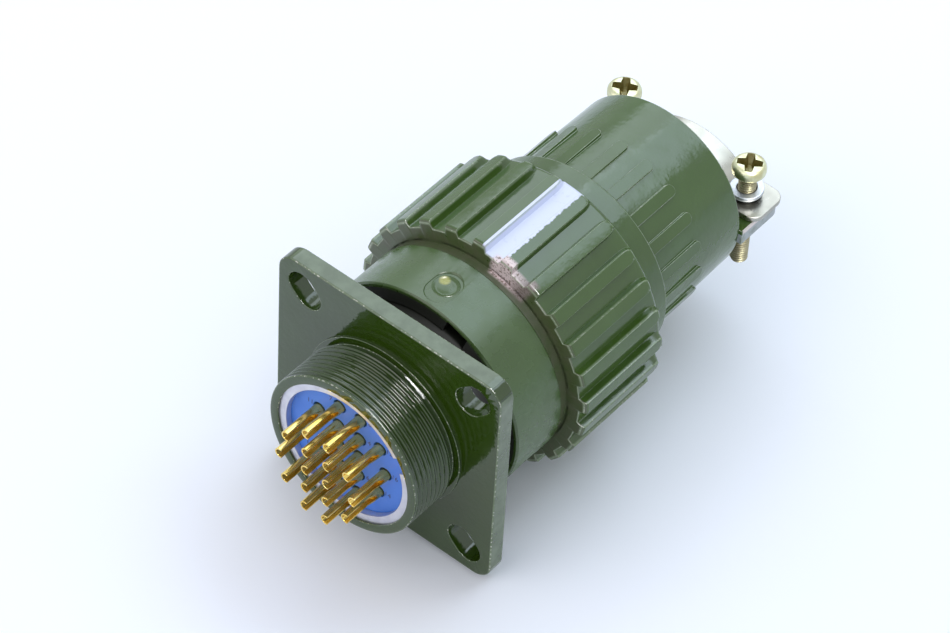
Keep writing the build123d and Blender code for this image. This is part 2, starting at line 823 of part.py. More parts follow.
# Clamp screws with their flat and spring washers, one set on each side
for side, side_y in screw_sides.items():
    with BuildPart() as clamp_screw:
        with BuildSketch(Plane.XY.offset(screw_tip)):
            with Locations((screw_x, side_y)):
                Circle(screw_radius)
        extrude(amount=screw_head_seat - screw_tip)
        chamfer(edges().filter_by(GeomType.CIRCLE).sort_by(Axis.Z)[0], screw_tip_chamfer)
        with BuildSketch(Plane.XY.offset(screw_head_seat)):
            with Locations((screw_x, side_y)):
                Circle(screw_head_radius)
        extrude(amount=screw_head_height)
        fillet(edges().filter_by(GeomType.CIRCLE).sort_by(Axis.Z)[-1], screw_head_round)
        with BuildSketch(Plane.XY.offset(screw_head_seat + screw_head_height)):
            with Locations((screw_x, side_y)):
                Rectangle(recess_length, recess_width)
                Rectangle(recess_width, recess_length)
        extrude(amount=-recess_depth, mode=Mode.SUBTRACT)
    pieces[f"clamp_screw_{side}"] = clamp_screw

    with BuildPart() as flat_washer:
        with BuildSketch(Plane.XY.offset(strap_top)):
            with Locations((screw_x, side_y)):
                Circle(flat_washer_radius)
                Circle(strap_hole_radius, mode=Mode.SUBTRACT)
        extrude(amount=flat_washer_thickness)
    pieces[f"flat_washer_{side}"] = flat_washer

    with BuildPart() as spring_washer:
        coil_radius = (spring_washer_outer + spring_washer_inner) / 2
        with BuildLine(Plane((screw_x, side_y, washer_top + spring_washer_thickness / 2))) as coil:
            Helix(
                pitch=spring_washer_lift * 360 / spring_washer_turn,
                height=spring_washer_lift,
                radius=coil_radius,
            )
        with BuildSketch(Plane(origin=coil.line @ 0, x_dir=(1, 0, 0), z_dir=coil.line % 0)):
            Rectangle(spring_washer_outer - spring_washer_inner, spring_washer_thickness)
        sweep(path=coil.line, is_frenet=True)
    pieces[f"spring_washer_{side}"] = spring_washer

os.makedirs("parts", exist_ok=True)
for name, piece in pieces.items():
    piece.part.label = name
    export_step(piece.part, f"parts/{name}.step")
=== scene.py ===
"""Looks of a bayonet circular connector: flanged receptacle, cable plug and cable clamp.

Lengths in the classes are millimetres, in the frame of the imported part: X along the
connector's axis towards the cable, Z up, origin at the centre of the flange's rear face.
"""

import json
import logging
from collections.abc import Callable, Iterator, Mapping, Sequence
from contextlib import contextmanager
from dataclasses import dataclass, field
from enum import Enum
from math import ceil, cos, degrees, hypot, pi, radians, sin, sqrt, tan

import bmesh
import bpy
from mathutils import Matrix, Vector

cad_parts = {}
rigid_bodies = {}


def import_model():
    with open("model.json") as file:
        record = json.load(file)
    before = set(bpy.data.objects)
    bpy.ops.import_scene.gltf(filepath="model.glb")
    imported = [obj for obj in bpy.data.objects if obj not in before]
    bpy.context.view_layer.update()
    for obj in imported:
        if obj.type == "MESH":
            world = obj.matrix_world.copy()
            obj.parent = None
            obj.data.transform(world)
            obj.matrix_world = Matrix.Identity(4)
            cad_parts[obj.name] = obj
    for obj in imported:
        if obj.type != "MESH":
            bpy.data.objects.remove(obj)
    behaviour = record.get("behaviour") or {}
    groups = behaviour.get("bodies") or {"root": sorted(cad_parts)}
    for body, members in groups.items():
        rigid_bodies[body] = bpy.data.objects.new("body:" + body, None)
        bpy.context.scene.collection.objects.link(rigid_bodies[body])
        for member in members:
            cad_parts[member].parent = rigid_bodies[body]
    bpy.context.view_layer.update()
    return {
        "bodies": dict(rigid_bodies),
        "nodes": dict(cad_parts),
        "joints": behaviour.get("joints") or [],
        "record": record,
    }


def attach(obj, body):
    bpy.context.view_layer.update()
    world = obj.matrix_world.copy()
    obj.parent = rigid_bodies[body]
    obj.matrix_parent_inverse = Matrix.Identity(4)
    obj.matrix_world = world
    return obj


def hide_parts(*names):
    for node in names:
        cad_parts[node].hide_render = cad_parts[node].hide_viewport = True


MM = 0.001
LOG = logging.getLogger("connector")

Point2 = tuple[float, float]
Point3 = tuple[float, float, float]
Tree = bpy.types.NodeTree
Socket = bpy.types.NodeSocket

# What several pieces share. AXIS is the small radius where a turned profile ends at its
# axis, AROUND the number of segments round a small piece, and ROOM_SHARE how much of the
# shorter side beside a corner its rounding may take.
STUD_ANGLES = (90.0, 210.0, 330.0)
STUD_AT = 12.9
AXIS = 0.02
AROUND = 48
ROOM_SHARE = 0.49
SHARP_FROM = radians(38)
EASED_FROM = radians(35)
FLAT_WITHIN = radians(0.4)
WELD = 0.002 * MM
NORMAL_WEIGHT = 80
UPRIGHT = Matrix(((0, 1, 0), (0, 0, 1), (1, 0, 0))).to_4x4()


class Slot(Enum):
    """Material slots of the record."""

    ENAMEL = "olive_enamel"
    BRASS = "chromated_brass"
    RUBBER = "black_rubber"
    INSERT = "blue_insert_plastic"
    ALUMINIUM = "satin_aluminium"
    GOLD = "gold_plate"
    SPRING = "spring_steel"
    NICKEL = "nickel_plate"
    ZINC = "yellow_zinc_plate"


class Body(Enum):
    """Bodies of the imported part."""

    RECEPTACLE = "receptacle"
    PLUG = "plug"
    RING = "coupling_ring"
    STRAP = "clamp_strap"
    SCREW_LEFT = "clamp_screw_left"
    SCREW_RIGHT = "clamp_screw_right"


def linear(hex_colour: str) -> tuple[float, float, float, float]:
    """Turns an sRGB colour "#rrggbb" to linear RGBA with alpha 1."""
    channels = [int(hex_colour[i : i + 2], 16) / 255 for i in (1, 3, 5)]
    red, green, blue = (
        c / 12.92 if c <= 0.04045 else ((c + 0.055) / 1.055) ** 2.4 for c in channels
    )
    return red, green, blue, 1.0


def add_node(
    tree: Tree, kind: str, inputs: Mapping[str | int, object] | None = None, **settings: object
) -> bpy.types.Node:
    """Adds a node, with its settings, constants and links.

    Args:
        tree: Node tree that takes the node.
        kind: The node's type name.
        inputs: For each input, by name or number, a socket to link from or a constant.
        settings: Properties of the node itself.

    Returns:
        The new node.
    """
    node = tree.nodes.new(kind)
    for key, value in settings.items():
        setattr(node, key, value)
    for key, value in (inputs or {}).items():
        if isinstance(value, Socket):
            tree.links.new(value, node.inputs[key])
        else:
            node.inputs[key].default_value = value
    return node


def per_mm(size: float) -> float:
    """Texture scale whose features are about this many millimetres wide."""
    return 1 / (size * MM)


def cleared_tree(owner: bpy.types.Material | bpy.types.World) -> Tree:
    """Gives a material or a world an empty node tree."""
    owner.use_nodes = True
    owner.node_tree.nodes.clear()
    return owner.node_tree


def show(name: str, data: bpy.types.ID) -> bpy.types.Object:
    """Puts an object with this data in the scene."""
    made = bpy.data.objects.new(name, data)
    bpy.context.scene.collection.objects.link(made)
    return made


def baked(piece: bpy.types.Object) -> bpy.types.Mesh:
    """Mesh of an object with its modifiers applied."""
    depsgraph = bpy.context.evaluated_depsgraph_get()
    return bpy.data.meshes.new_from_object(piece.evaluated_get(depsgraph))


@contextmanager
def edited(mesh: bpy.types.Mesh) -> Iterator[bmesh.types.BMesh]:
    """Opens a mesh for editing and writes the result back to it."""
    work = bmesh.new()
    work.from_mesh(mesh)
    yield work
    work.to_mesh(mesh)
    work.free()


# Finishes


@dataclass(frozen=True)
class Patches:
    """A patchy share: noise of a size in millimetres, spread from a span of its values."""

    size: float
    detail: float
    span: Point2
    shares: Point2 = (0.0, 1.0)


@dataclass(frozen=True)
class Graph:
    """A material's node tree, with the few kinds of node that the finishes are built from."""

    tree: Tree
    place: Socket

    def noise(self, size: float, detail: float = 2.0) -> Socket:
        """Value of a noise whose features are about size millimetres wide."""
        inputs = {"Vector": self.place, "Scale": per_mm(size), "Detail": detail}
        return add_node(self.tree, "ShaderNodeTexNoise", inputs).outputs["Fac"]

    def mark(self, name: str) -> Socket:
        """Value of a mesh attribute."""
        return add_node(self.tree, "ShaderNodeAttribute", attribute_name=name).outputs["Fac"]

    def axes(self) -> tuple[Socket, ...]:
        """The place's x, y and z in metres."""
        return tuple(add_node(self.tree, "ShaderNodeSeparateXYZ", {0: self.place}).outputs)

    def distance(self, first: Socket, second: Point3 = (0.0, 0.0, 0.0)) -> Socket:
        """Distance between two places in metres."""
        inputs = {0: first, 1: second}
        node = add_node(self.tree, "ShaderNodeVectorMath", inputs, operation="DISTANCE")
        return node.outputs["Value"]

    def math(self, operation: str, first: Socket, *others: Socket | float) -> Socket:
        """Takes a first value through an operation, with each of the others in turn.

        Args:
            operation: The math node's operation.
            first: The first value.
            others: None for an operation on one value.

        Returns:
            The result's socket.
        """
        if not others:
            return add_node(self.tree, "ShaderNodeMath", {0: first}, operation=operation).outputs[0]
        for other in others:
            inputs = {0: first, 1: other}
            first = add_node(self.tree, "ShaderNodeMath", inputs, operation=operation).outputs[0]
        return first

    def ramp(
        self, value: Socket, low: float, high: float, start: float = 0.0, end: float = 1.0
    ) -> Socket:
        """Maps a value from low and high to start and end, and no further."""
        inputs = {0: value, 1: low, 2: high, 3: start, 4: end}
        return add_node(self.tree, "ShaderNodeMapRange", inputs).outputs[0]

    def patches(self, kind: Patches) -> Socket:
        """Share of a patchy kind at each place."""
        return self.ramp(self.noise(kind.size, kind.detail), *kind.span, *kind.shares)

    def band(self, value: Socket, low: float, high: float, soft: float) -> Socket:
        """Share that is 1 between two limits of a value, and fades over soft either side."""
        rise = self.ramp(value, low - soft, low + soft)
        fall = self.ramp(value, high - soft, high + soft, 1.0, 0.0)
        return self.math("MULTIPLY", rise, fall)

    def mix(self, share: Socket, first: Socket | str, second: Socket | str) -> Socket:
        """Colour a share of the way from one to the other, each a socket or a hex colour."""
        ends = [linear(end) if isinstance(end, str) else end for end in (first, second)]
        inputs = {0: share, 6: ends[0], 7: ends[1]}
        return add_node(self.tree, "ShaderNodeMix", inputs, data_type="RGBA").outputs[2]

    def bump(
        self, height: Socket, strength: float, depth: float, under: Socket | None = None
    ) -> Socket:
        """Normal bumped by a depth in millimetres, on the one under it or the mesh's own."""
        inputs = {"Height": height, "Strength": strength, "Distance": depth * MM}
        if under is not None:
            inputs["Normal"] = under
        return add_node(self.tree, "ShaderNodeBump", inputs).outputs["Normal"]

    def surface(self, colour: Socket, rough: Socket | float, **others: object) -> Socket:
        """A principled shader; its other inputs go by their own names."""
        inputs = {"Base Color": colour, "Roughness": rough, **others}
        return add_node(self.tree, "ShaderNodeBsdfPrincipled", inputs).outputs["BSDF"]


@dataclass(frozen=True)
class Finish:
    """A surface finish, which makes one material with object-space detail."""

    name: str

    def material(self) -> bpy.types.Material:
        """Makes the material, or returns it if it has been made."""
        made = bpy.data.materials.get(self.name)
        if made:
            return made
        made = bpy.data.materials.new(self.name)
        tree = cleared_tree(made)
        place = add_node(tree, "ShaderNodeTexCoord").outputs["Object"]
        shader = self.shade(Graph(tree, place))
        add_node(tree, "ShaderNodeOutputMaterial", {"Surface": shader})
        return made

    def shade(self, graph: Graph) -> Socket:
        """Builds the shader and returns its output socket."""
        raise NotImplementedError


@dataclass(frozen=True)
class Enamel(Finish):
    """Stoved olive enamel over cast aluminium: a thick glossy skin with a slight ripple.

    It mirrors its surroundings softly, pools a little darker over millimetres,
    and is chipped to bright metal along the sharpest edges. Its eased edges get a painted
    highlight, a lighter tone for the light they catch.
    """

    base: str = "#2d430f"
    deep: str = "#243609"
    pool_size: float = 7.0
    chip: str = "#bdbcb0"
    wear: float = 0.55
    wear_soft: float = 0.08
    chip_size: float = 0.5
    chip_edge: Point2 = (0.45, 0.8)
    wave: float = 0.05
    wave_size: float = 6.0
    peel: float = 0.02
    peel_size: float = 0.9
    grit: float = 0.002
    grit_size: float = 0.25
    # Painted highlight: share and tone of the lighter colour laid along eased edges, for the thin
    # bright lines light draws there.
    rim: float = 0.15
    rim_tone: str = "#93a286"
    smear_size: float = 2.4
    smear_span: Point2 = (0.35, 0.7)
    rough_low: float = 0.05
    rough_high: float = 0.12
    rough_bare: float = 0.45
    refraction: float = 1.62

    def marks(self, graph: Graph, colour: Socket) -> tuple[Socket, Socket | None]:
        """Adds paint marks; this one has none.

        Args:
            graph: The material's graph.
            colour: Colour of the enamel.

        Returns:
            The colour with the marks, and the share of bare or matt surface if there is any.
        """
        return colour, None

    def shade(self, graph: Graph) -> Socket:
        """Builds enamel with pooled tone, ripple, grit, chipped edges and painted edge highlights.
        """
        colour = graph.mix(graph.noise(self.pool_size), self.base, self.deep)
        colour, matt = self.marks(graph, colour)
        edge = graph.mark("edge")
        # Painted highlight along the eased edges.
        colour = graph.mix(graph.math("MULTIPLY", edge, self.rim), colour, self.rim_tone)
        scatter = graph.noise(self.chip_size, 4.0)
        chance = graph.ramp(scatter, self.wear, self.wear + self.wear_soft)
        chipped = graph.math("MULTIPLY", chance, graph.ramp(edge, *self.chip_edge))
        colour = graph.mix(chipped, colour, self.chip)
        smear = graph.noise(self.smear_size, 3.0)
        gloss = graph.ramp(smear, *self.smear_span, self.rough_low, self.rough_high)
        rough = chipped if matt is None else graph.math("MAXIMUM", chipped, matt)
        inputs = {0: rough, 2: gloss, 3: self.rough_bare}
        gloss = add_node(graph.tree, "ShaderNodeMix", inputs, data_type="FLOAT").outputs[0]
        layers = (
            (self.wave_size, 1.0, self.wave),
            (self.peel_size, 1.0, self.peel),
            (self.grit_size, 2.0, self.grit),
        )
        normal: Socket | None = None
        for size, detail, depth in layers:
            normal = graph.bump(graph.noise(size, detail), 1.0, depth, normal)
        return graph.surface(colour, gloss, Normal=normal, IOR=self.refraction)


@dataclass(frozen=True)
class RingEnamel(Enamel):
    """Olive enamel of the coupling ring, with its painted index stripe and a rubbed patch.

    The stripe fills the valley between two ribs with white, a little ragged on one side.
    The patch beside it is rubbed to a pinkish primer with brown specks.
    Angles are degrees about the axis, and places along it are millimetres.
    The patch's third values are how soft its edges are. The inside of the collar carries painted
    shade.
    """

    stripe: str = "#d2d8ee"
    stripe_soft: Point2 = (0.15, 0.2)
    soil: str = "#9aa0b8"
    soiled: Patches = Patches(1.1, 4.0, (0.62, 0.8), (0.0, 0.35))
    primer: str = "#d8c6c6"
    speck: str = "#6b5448"
    flecks: Patches = Patches(0.35, 3.0, (0.5, 0.66))
    # The patch turns darker towards its far side, over the span of angles that follows.
    burnt: str = "#554a40"
    burnt_span: Point2 = (108.0, 115.0)
    burnt_share: float = 0.75
    dulled: str = "#4b5134"
    dull_span: Point2 = (18.6, 20.25)
    dull_soft: float = 0.12
    worn: Patches = Patches(1.6, 3.0, (0.3, 0.6), (0.45, 0.95))
    stripe_from: float = 91.6
    stripe_to: float = 102.8
    stripe_front: float = 20.0
    ragged: Patches = Patches(0.5, 3.0, (0.3, 0.7), (-0.45, 0.45))
    patch_turn: Point3 = (97.5, 119.0, 1.2)
    patch_span: Point3 = (19.5, 21.3, 0.25)
    # Painted shade: the collar's inside, within this radius of the axis, is made dark and dull for
    # the shade there.
    inside: str = "#15180e"
    inside_radius: float = 17.7
    spot: str = "#a3a24a"
    spot_at: Point3 = (13.7, 0.9, 18.1)
    spot_radius: float = 1.0
    spot_core: float = 0.6
    spot_share: float = 0.8

    def marks(self, graph: Graph, colour: Socket) -> tuple[Socket, Socket | None]:
        """Adds the stripe, the dull band, the patch, painted shade inside the collar and the bare
        spot.
        """
        x, y, z = graph.axes()
        along = graph.math("MULTIPLY", x, 1 / MM)
        angle = graph.math("MULTIPLY", graph.math("ARCTAN2", z, y), 180 / pi)
        ragged = graph.math("ADD", angle, graph.patches(self.ragged))
        clean, rough = self.stripe_soft
        left = graph.ramp(angle, self.stripe_from - clean, self.stripe_from + clean)
        right = graph.ramp(ragged, self.stripe_to - rough, self.stripe_to + rough, 1.0, 0.0)
        front = graph.ramp(along, self.stripe_front, self.stripe_front + rough)
        striped = graph.math("MULTIPLY", left, right, front)
        paint = graph.mix(graph.patches(self.soiled), self.stripe, self.soil)
        colour = graph.mix(striped, colour, paint)
        rubbed = graph.band(along, *self.dull_span, self.dull_soft)
        dull = graph.math("MULTIPLY", rubbed, graph.patches(self.worn))
        colour = graph.mix(dull, colour, self.dulled)
        turned = graph.band(ragged, *self.patch_turn)
        patch = graph.math("MULTIPLY", turned, graph.band(along, *self.patch_span))
        primer = graph.mix(graph.patches(self.flecks), self.primer, self.speck)
        burnt = graph.ramp(ragged, *self.burnt_span, 0.0, self.burnt_share)
        colour = graph.mix(patch, colour, graph.mix(burnt, primer, self.burnt))
        # Painted shade on the inside of the collar.
        flat = add_node(graph.tree, "ShaderNodeCombineXYZ", {1: y, 2: z}).outputs[0]
        inside = graph.math("LESS_THAN", graph.distance(flat), self.inside_radius * MM)
        colour = graph.mix(inside, colour, self.inside)
        dull = graph.math("MAXIMUM", dull, inside)
        away = graph.distance(graph.place, tuple(value * MM for value in self.spot_at))
        core, rim = self.spot_radius * self.spot_core * MM, self.spot_radius * MM
        spotted = graph.ramp(away, core, rim, self.spot_share, 0.0)
        colour = graph.mix(spotted, colour, self.spot)
        return colour, graph.math("MAXIMUM", patch, striped, dull)


@dataclass(frozen=True)
class BackshellEnamel(Enamel):
    """Olive enamel of the backshell, thin to bare grey metal on the clamp saddle's side."""

    bare: str = "#9aa0a2"
    lip: str = "#d8cbc8"
    lip_from: float = -0.75
    saddle_front: float = 65.2
    front_lead: float = 0.6
    front_below: float = -0.8
    front_side: float = -12.0
    saddle_side: float = -16.0
    worn: Patches = Patches(1.5, 3.0, (0.35, 0.5), (0.5, 1.0))

    def marks(self, graph: Graph, colour: Socket) -> tuple[Socket, Socket | None]:
        """Adds the bare grey side of the saddle."""
        x, y, z = graph.axes()
        behind = graph.math("GREATER_THAN", x, self.saddle_front * MM)
        beside = graph.math("LESS_THAN", y, self.saddle_side * MM)
        ahead = graph.math("GREATER_THAN", x, (self.saddle_front - self.front_lead) * MM)
        below = graph.math("LESS_THAN", z, self.front_below * MM)
        outside = graph.math("LESS_THAN", y, self.front_side * MM)
        front = graph.math("MULTIPLY", ahead, below, outside)
        there = graph.math("MAXIMUM", graph.math("MULTIPLY", behind, beside), front)
        thin = graph.math("MULTIPLY", there, graph.patches(self.worn))
        upper = graph.math("GREATER_THAN", z, self.lip_from * MM)
        return graph.mix(thin, colour, graph.mix(upper, self.bare, self.lip)), thin


@dataclass(frozen=True)
class ShellEnamel(Enamel):
    """Olive enamel of the receptacle, with a painted lighter sheen in patches on the flange's
    narrow faces.

    The barrel behind the flange is painted dark and dull: painted shade for the gap between flange
    and ring.
    """

    # Painted shade: dark colour laid on the barrel behind the flange, where the gap is in shade.
    shaded: str = "#14170d"
    shaded_from: float = 3.2
    # Painted sheen: lighter tone laid in patches on the flange's narrow faces, for the light they
    # catch.
    dusted: str = "#66765a"
    dusted_beyond: float = 20.76
    dust: Patches = Patches(2.5, 4.0, (0.35, 0.65), (0.35, 0.7))

    def marks(self, graph: Graph, colour: Socket) -> tuple[Socket, Socket | None]:
        """Paints a lighter sheen on the flange's narrow faces and painted shade on the barrel
        behind the flange.
        """
        x, y, z = graph.axes()
        # Painted sheen on the flange's narrow faces.
        reach = graph.math("MAXIMUM", graph.math("ABSOLUTE", y), graph.math("ABSOLUTE", z))
        narrow = graph.math("GREATER_THAN", reach, self.dusted_beyond * MM)
        sheen_share = graph.math("MULTIPLY", narrow, graph.patches(self.dust))
        colour = graph.mix(sheen_share, colour, self.dusted)
        # Painted shade on the barrel behind the flange.
        behind = graph.math("GREATER_THAN", x, self.shaded_from * MM)
        return graph.mix(behind, colour, self.shaded), behind


@dataclass(frozen=True)
class Plated(Finish):
    """Plated or bare metal with a mottled tint and fine scratches.

    The tint drifts between two colours over some millimetres, as thin plating does,
    and the scratches break up what it mirrors.
    """

    base: str
    tint: str
    tint_size: float = 2.0
    tint_span: Point2 = (0.35, 0.65)
    smear_size: float = 1.2
    smear_span: Point2 = (0.3, 0.7)
    rough_low: float = 0.15
    rough_high: float = 0.3
    grain_size: float = 0.3
    grain_depth: float = 0.02
    grain: float = 0.1
    metal: float = 1.0

    def shade(self, graph: Graph) -> Socket:
        """Builds a metal with a drifting tint and grain."""
        drifted = graph.ramp(graph.noise(self.tint_size), *self.tint_span)
        colour = graph.mix(drifted, self.base, self.tint)
        smear = graph.noise(self.smear_size, 3.0)
        gloss = graph.ramp(smear, *self.smear_span, self.rough_low, self.rough_high)
        worked = graph.bump(graph.noise(self.grain_size, 3.0), self.grain, self.grain_depth)
        return graph.surface(colour, gloss, Metallic=self.metal, Normal=worked)


@dataclass(frozen=True)
class PassivatedZinc(Plated):
    """Yellow zinc plate: pale green-gold, browner on the thread, with painted shade in the thread
    roots and the driver recess.
    """

    # Painted shade: the dark tone laid in the driver recess and, in part, in the thread roots.
    stain: str = "#665a1e"
    thread_tone: str = "#a49d84"
    film_metal: float = 0.45
    film_rough: float = 0.45
    blotches: Patches = Patches(0.8, 3.0, (0.35, 0.65), (0.8, 1.0))
    marked: Point2 = (0.0, 0.4)
    deep: Point2 = (0.45, 1.0)

    def shade(self, graph: Graph) -> Socket:
        """Builds the plate and lays painted shade on it where the mesh is marked as a recess or a
        thread root.
        """
        shader = super().shade(graph)
        recess = graph.mark("recess")
        marked = graph.ramp(recess, *self.marked)
        shade_share = graph.math("MULTIPLY", marked, graph.patches(self.blotches))
        # Painted shade: deeper marks mix towards the dark recess tone.
        tone = graph.mix(graph.ramp(recess, *self.deep), self.thread_tone, self.stain)
        film = graph.surface(tone, self.film_rough, Metallic=self.film_metal)
        inputs = {0: shade_share, 1: shader, 2: film}
        return add_node(graph.tree, "ShaderNodeMixShader", inputs).outputs[0]


@dataclass(frozen=True)
class Moulded(Finish):
    """Moulded thermoset or rubber: even colour, a satin or matt skin and a fine pebbling."""

    base: str
    shade_to: str
    cloud_size: float = 3.5
    gloss_span: Point2 = (0.3, 0.7)
    rough_low: float = 0.3
    rough_high: float = 0.45
    pebble_size: float = 0.25
    pebble_depth: float = 0.02
    pebble: float = 0.15
    refraction: float = 1.5

    def shade(self, graph: Graph) -> Socket:
        """Builds a plastic with cloudy tone and a pebbled skin."""
        cloud = graph.noise(self.cloud_size)
        colour = graph.mix(cloud, self.base, self.shade_to)
        gloss = graph.ramp(cloud, *self.gloss_span, self.rough_low, self.rough_high)
        pebbled = graph.bump(graph.noise(self.pebble_size), self.pebble, self.pebble_depth)
        return graph.surface(colour, gloss, Normal=pebbled, IOR=self.refraction)


SHELL_ENAMEL = ShellEnamel("olive_enamel_shell")
BACKSHELL_ENAMEL = BackshellEnamel(
    "olive_enamel_backshell",
    base="#3d5a20",
    deep="#334b18",
    rough_low=0.12,
    rough_high=0.24,
    wave=0.1,
    peel=0.032,
    grit=0.004,
    # Strong painted highlight along the pads' eased edges.
    rim=0.7,
)
RING_ENAMEL = RingEnamel(
    "olive_enamel_ring",
    base="#3d5a20",
    deep="#334b18",
    rough_low=0.24,
    rough_high=0.34,
    wave=0.04,
    peel=0.012,
)
GRIP_ENAMEL = RingEnamel(
    "olive_enamel_grip",
    base="#3f5b22",
    deep="#344b18",
    rough_low=0.1,
    rough_high=0.22,
    wave=0.05,
    peel=0.02,
    grit=0.006,
    # Strong painted highlight along the ribs' eased edges.
    rim=0.85,
)
STUD_ENAMEL = Enamel("olive_enamel_stud", rough_low=0.2, rough_high=0.3)
BLUE_THERMOSET = Moulded("blue_thermoset", base="#3f7de2", shade_to="#386fce")
MARKING_INK = Moulded("marking_ink", base="#27356a", shade_to="#222c58", pebble=0.05)
BLACK_RUBBER = Moulded(
    "black_rubber", base="#1b1c1c", shade_to="#262727", rough_low=0.6, rough_high=0.8
)
GOLD = Plated(
    "polished_gold_plate",
    base="#f5da86",
    tint="#e6c564",
    tint_size=3.0,
    rough_low=0.12,
    rough_high=0.24,
    grain=0.08,
    metal=0.92,
)
ALUMINIUM = Plated(
    "turned_aluminium", base="#d8d8df", tint="#cccbd4", rough_low=0.35, rough_high=0.5, grain=0.2
)
NICKEL = Plated(
    "bright_nickel", base="#b9b7ad", tint="#a09e95", tint_size=5.0, rough_low=0.24, rough_high=0.38
)
# Painted shade: the flat washers are made near black, so that they read as the shadow gap under the
# lock washers.
SHADE_DARK_NICKEL = Plated(
    "oil_darkened_nickel", base="#3c3c3a", tint="#242422", rough_low=0.35, rough_high=0.5
)
WASHER_STEEL = Plated(
    "zinc_plated_washer", base="#cdd1d6", tint="#b4bac4", rough_low=0.38, rough_high=0.5
)
YELLOW_ZINC = PassivatedZinc(
    "yellow_zinc",
    base="#d3d6b6",
    tint="#c2bd94",
    tint_size=1.4,
    rough_low=0.27,
    rough_high=0.4,
)
SPRING_STEEL = Plated("spring_steel", base="#9a9b9e", tint="#85868a")


# Mesh building


@dataclass
class Corner:
    """Corner of a profile, with the radius that rounds it."""

    across: float
    up: float
    radius: float = 0.0


def rounded(corners: Sequence[Corner], steps: int = 4) -> list[Point3]:
    """Rounds the corners of a closed profile.

    Args:
        corners: The profile's corners in order.
        steps: Segments in each rounded corner.

    Returns:
        Points (across, up, edge), where edge is 1 at the middle of a rounded corner and else 0.
    """
    points: list[Point3] = []
    for index, corner in enumerate(corners):
        here = Vector((corner.across, corner.up))
        before = Vector((corners[index - 1].across, corners[index - 1].up)) - here
        following = corners[(index + 1) % len(corners)]
        after = Vector((following.across, following.up)) - here
        if corner.radius <= 0:
            points.append((corner.across, corner.up, 0.0))
            continue
        opening = before.angle(after)
        room = ROOM_SHARE * min(before.length, after.length)
        reach = min(corner.radius / tan(opening / 2), room)
        radius = reach * tan(opening / 2)
        before.normalize()
        after.normalize()
        centre = here + (before + after).normalized() * (radius / sin(opening / 2))
        first = here + before * reach - centre
        last = here + after * reach - centre
        sweep = first.angle_signed(last)
        for step in range(steps + 1):
            share = step / steps
            arm = first.copy()
            arm.rotate(Matrix.Rotation(-sweep * share, 2))
            points.append((centre.x + arm.x, centre.y + arm.y, 1 - abs(2 * share - 1)))
    return points


def with_run(points: Sequence[Point3], radius: float, spacing: float) -> list[Point3]:
    """Adds points to a closed profile where it runs straight at a radius, for a thread.

    Args:
        points: The profile's points (x, radius, edge).
        radius: Radius of the run.
        spacing: Greatest distance between two of its points.

    Returns:
        The profile with the run's points.
    """
    dense: list[Point3] = []
    for here, there in zip(points, [*points[1:], points[0]]):
        dense.append(here)
        if here[1] == there[1] == radius:
            count = ceil(abs(there[0] - here[0]) / spacing)
            for step in range(1, count):
                dense.append((here[0] + (there[0] - here[0]) * step / count, radius, 0.0))
    return dense


@dataclass
class Draft:
    """Vertices and faces of a piece in millimetres, before they become a mesh."""

    points: list[Point3] = field(default_factory=list)
    faces: list[tuple[int, ...]] = field(default_factory=list)
    edges: list[float] = field(default_factory=list)

    def add(self, point: Point3, edge: float = 0.0) -> int:
        """Adds a point and returns its number."""
        self.points.append(point)
        self.edges.append(edge)
        return len(self.points) - 1

    def revolve(
        self,
        profile: Sequence[Point3],
        steps: int,
        radius_at: Callable[[float, float, float], float] | None = None,
    ) -> None:
        """Adds a closed profile turned about the X direction.

        Args:
            profile: Points (x, radius, edge), anticlockwise seen with the radius upwards.
            steps: Segments round the axis.
            radius_at: Radius for (x, radius, angle), where the piece isn't quite round.
        """
        first = len(self.points)
        rows = len(profile)
        for step in range(steps):
            angle = 2 * pi * step / steps
            for x, radius, edge in profile:
                if radius_at:
                    radius = radius_at(x, radius, angle)
                self.add((x, radius * cos(angle), radius * sin(angle)), edge)
        for step in range(steps):
            here = first + step * rows
            there = first + (step + 1) % steps * rows
            for row in range(rows):
                after = (row + 1) % rows
                self.faces.append((here + row, there + row, there + after, here + after))

    def loft(self, loops: Sequence[Sequence[int]]) -> None:
        """Joins closed loops of points, one to the next, with quads."""
        for first, second in zip(loops, loops[1:]):
            count = len(first)
            for index in range(count):
                after = (index + 1) % count
                self.faces.append((first[index], first[after], second[after], second[index]))

    def mesh(self, name: str) -> bpy.types.Mesh:
        """Makes the mesh in metres, with its edge attribute and normals that point outwards."""
        made = bpy.data.meshes.new(name)
        made.from_pydata([Vector(p) * MM for p in self.points], [], self.faces)
        attribute = made.attributes.new("edge", "FLOAT", "POINT")
        attribute.data.foreach_set("value", self.edges)
        with edited(made) as work:
            bmesh.ops.recalc_face_normals(work, faces=work.faces)
        made.update()
        return made


def finish_piece(
    mesh: bpy.types.Mesh, finish: Finish, body: Body, slot: Slot, replaced: Sequence[str] = ()
) -> bpy.types.Object:
    """Smooths a mesh, gives it its finish and puts it on its body.

    Args:
        mesh: Finished mesh in metres, in the part's frame.
        finish: Its surface.
        body: The body that it rides on.
        slot: The record's material slot; not used.
        replaced: CAD nodes that it stands for.

    Returns:
        The piece's object.
    """
    mesh.shade_smooth()
    mesh.set_sharp_from_angle(angle=SHARP_FROM)
    if "crisp" in mesh.attributes:
        for edge, mark in zip(mesh.edges, mesh.attributes["crisp"].data):
            edge.use_edge_sharp = edge.use_edge_sharp or mark.value > 0.5
    piece = show(mesh.name, mesh)
    weighted = piece.modifiers.new("even_normals", "WEIGHTED_NORMAL")
    weighted.keep_sharp = True
    weighted.weight = NORMAL_WEIGHT
    final = baked(piece)
    final.name = mesh.name
    piece.modifiers.clear()
    piece.data = final
    final.materials.clear()
    final.materials.append(finish.material())
    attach(piece, body.value)
    if replaced:
        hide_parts(*replaced)
    LOG.info("%s: %d faces on %s", piece.name, len(final.polygons), body.value)
    return piece


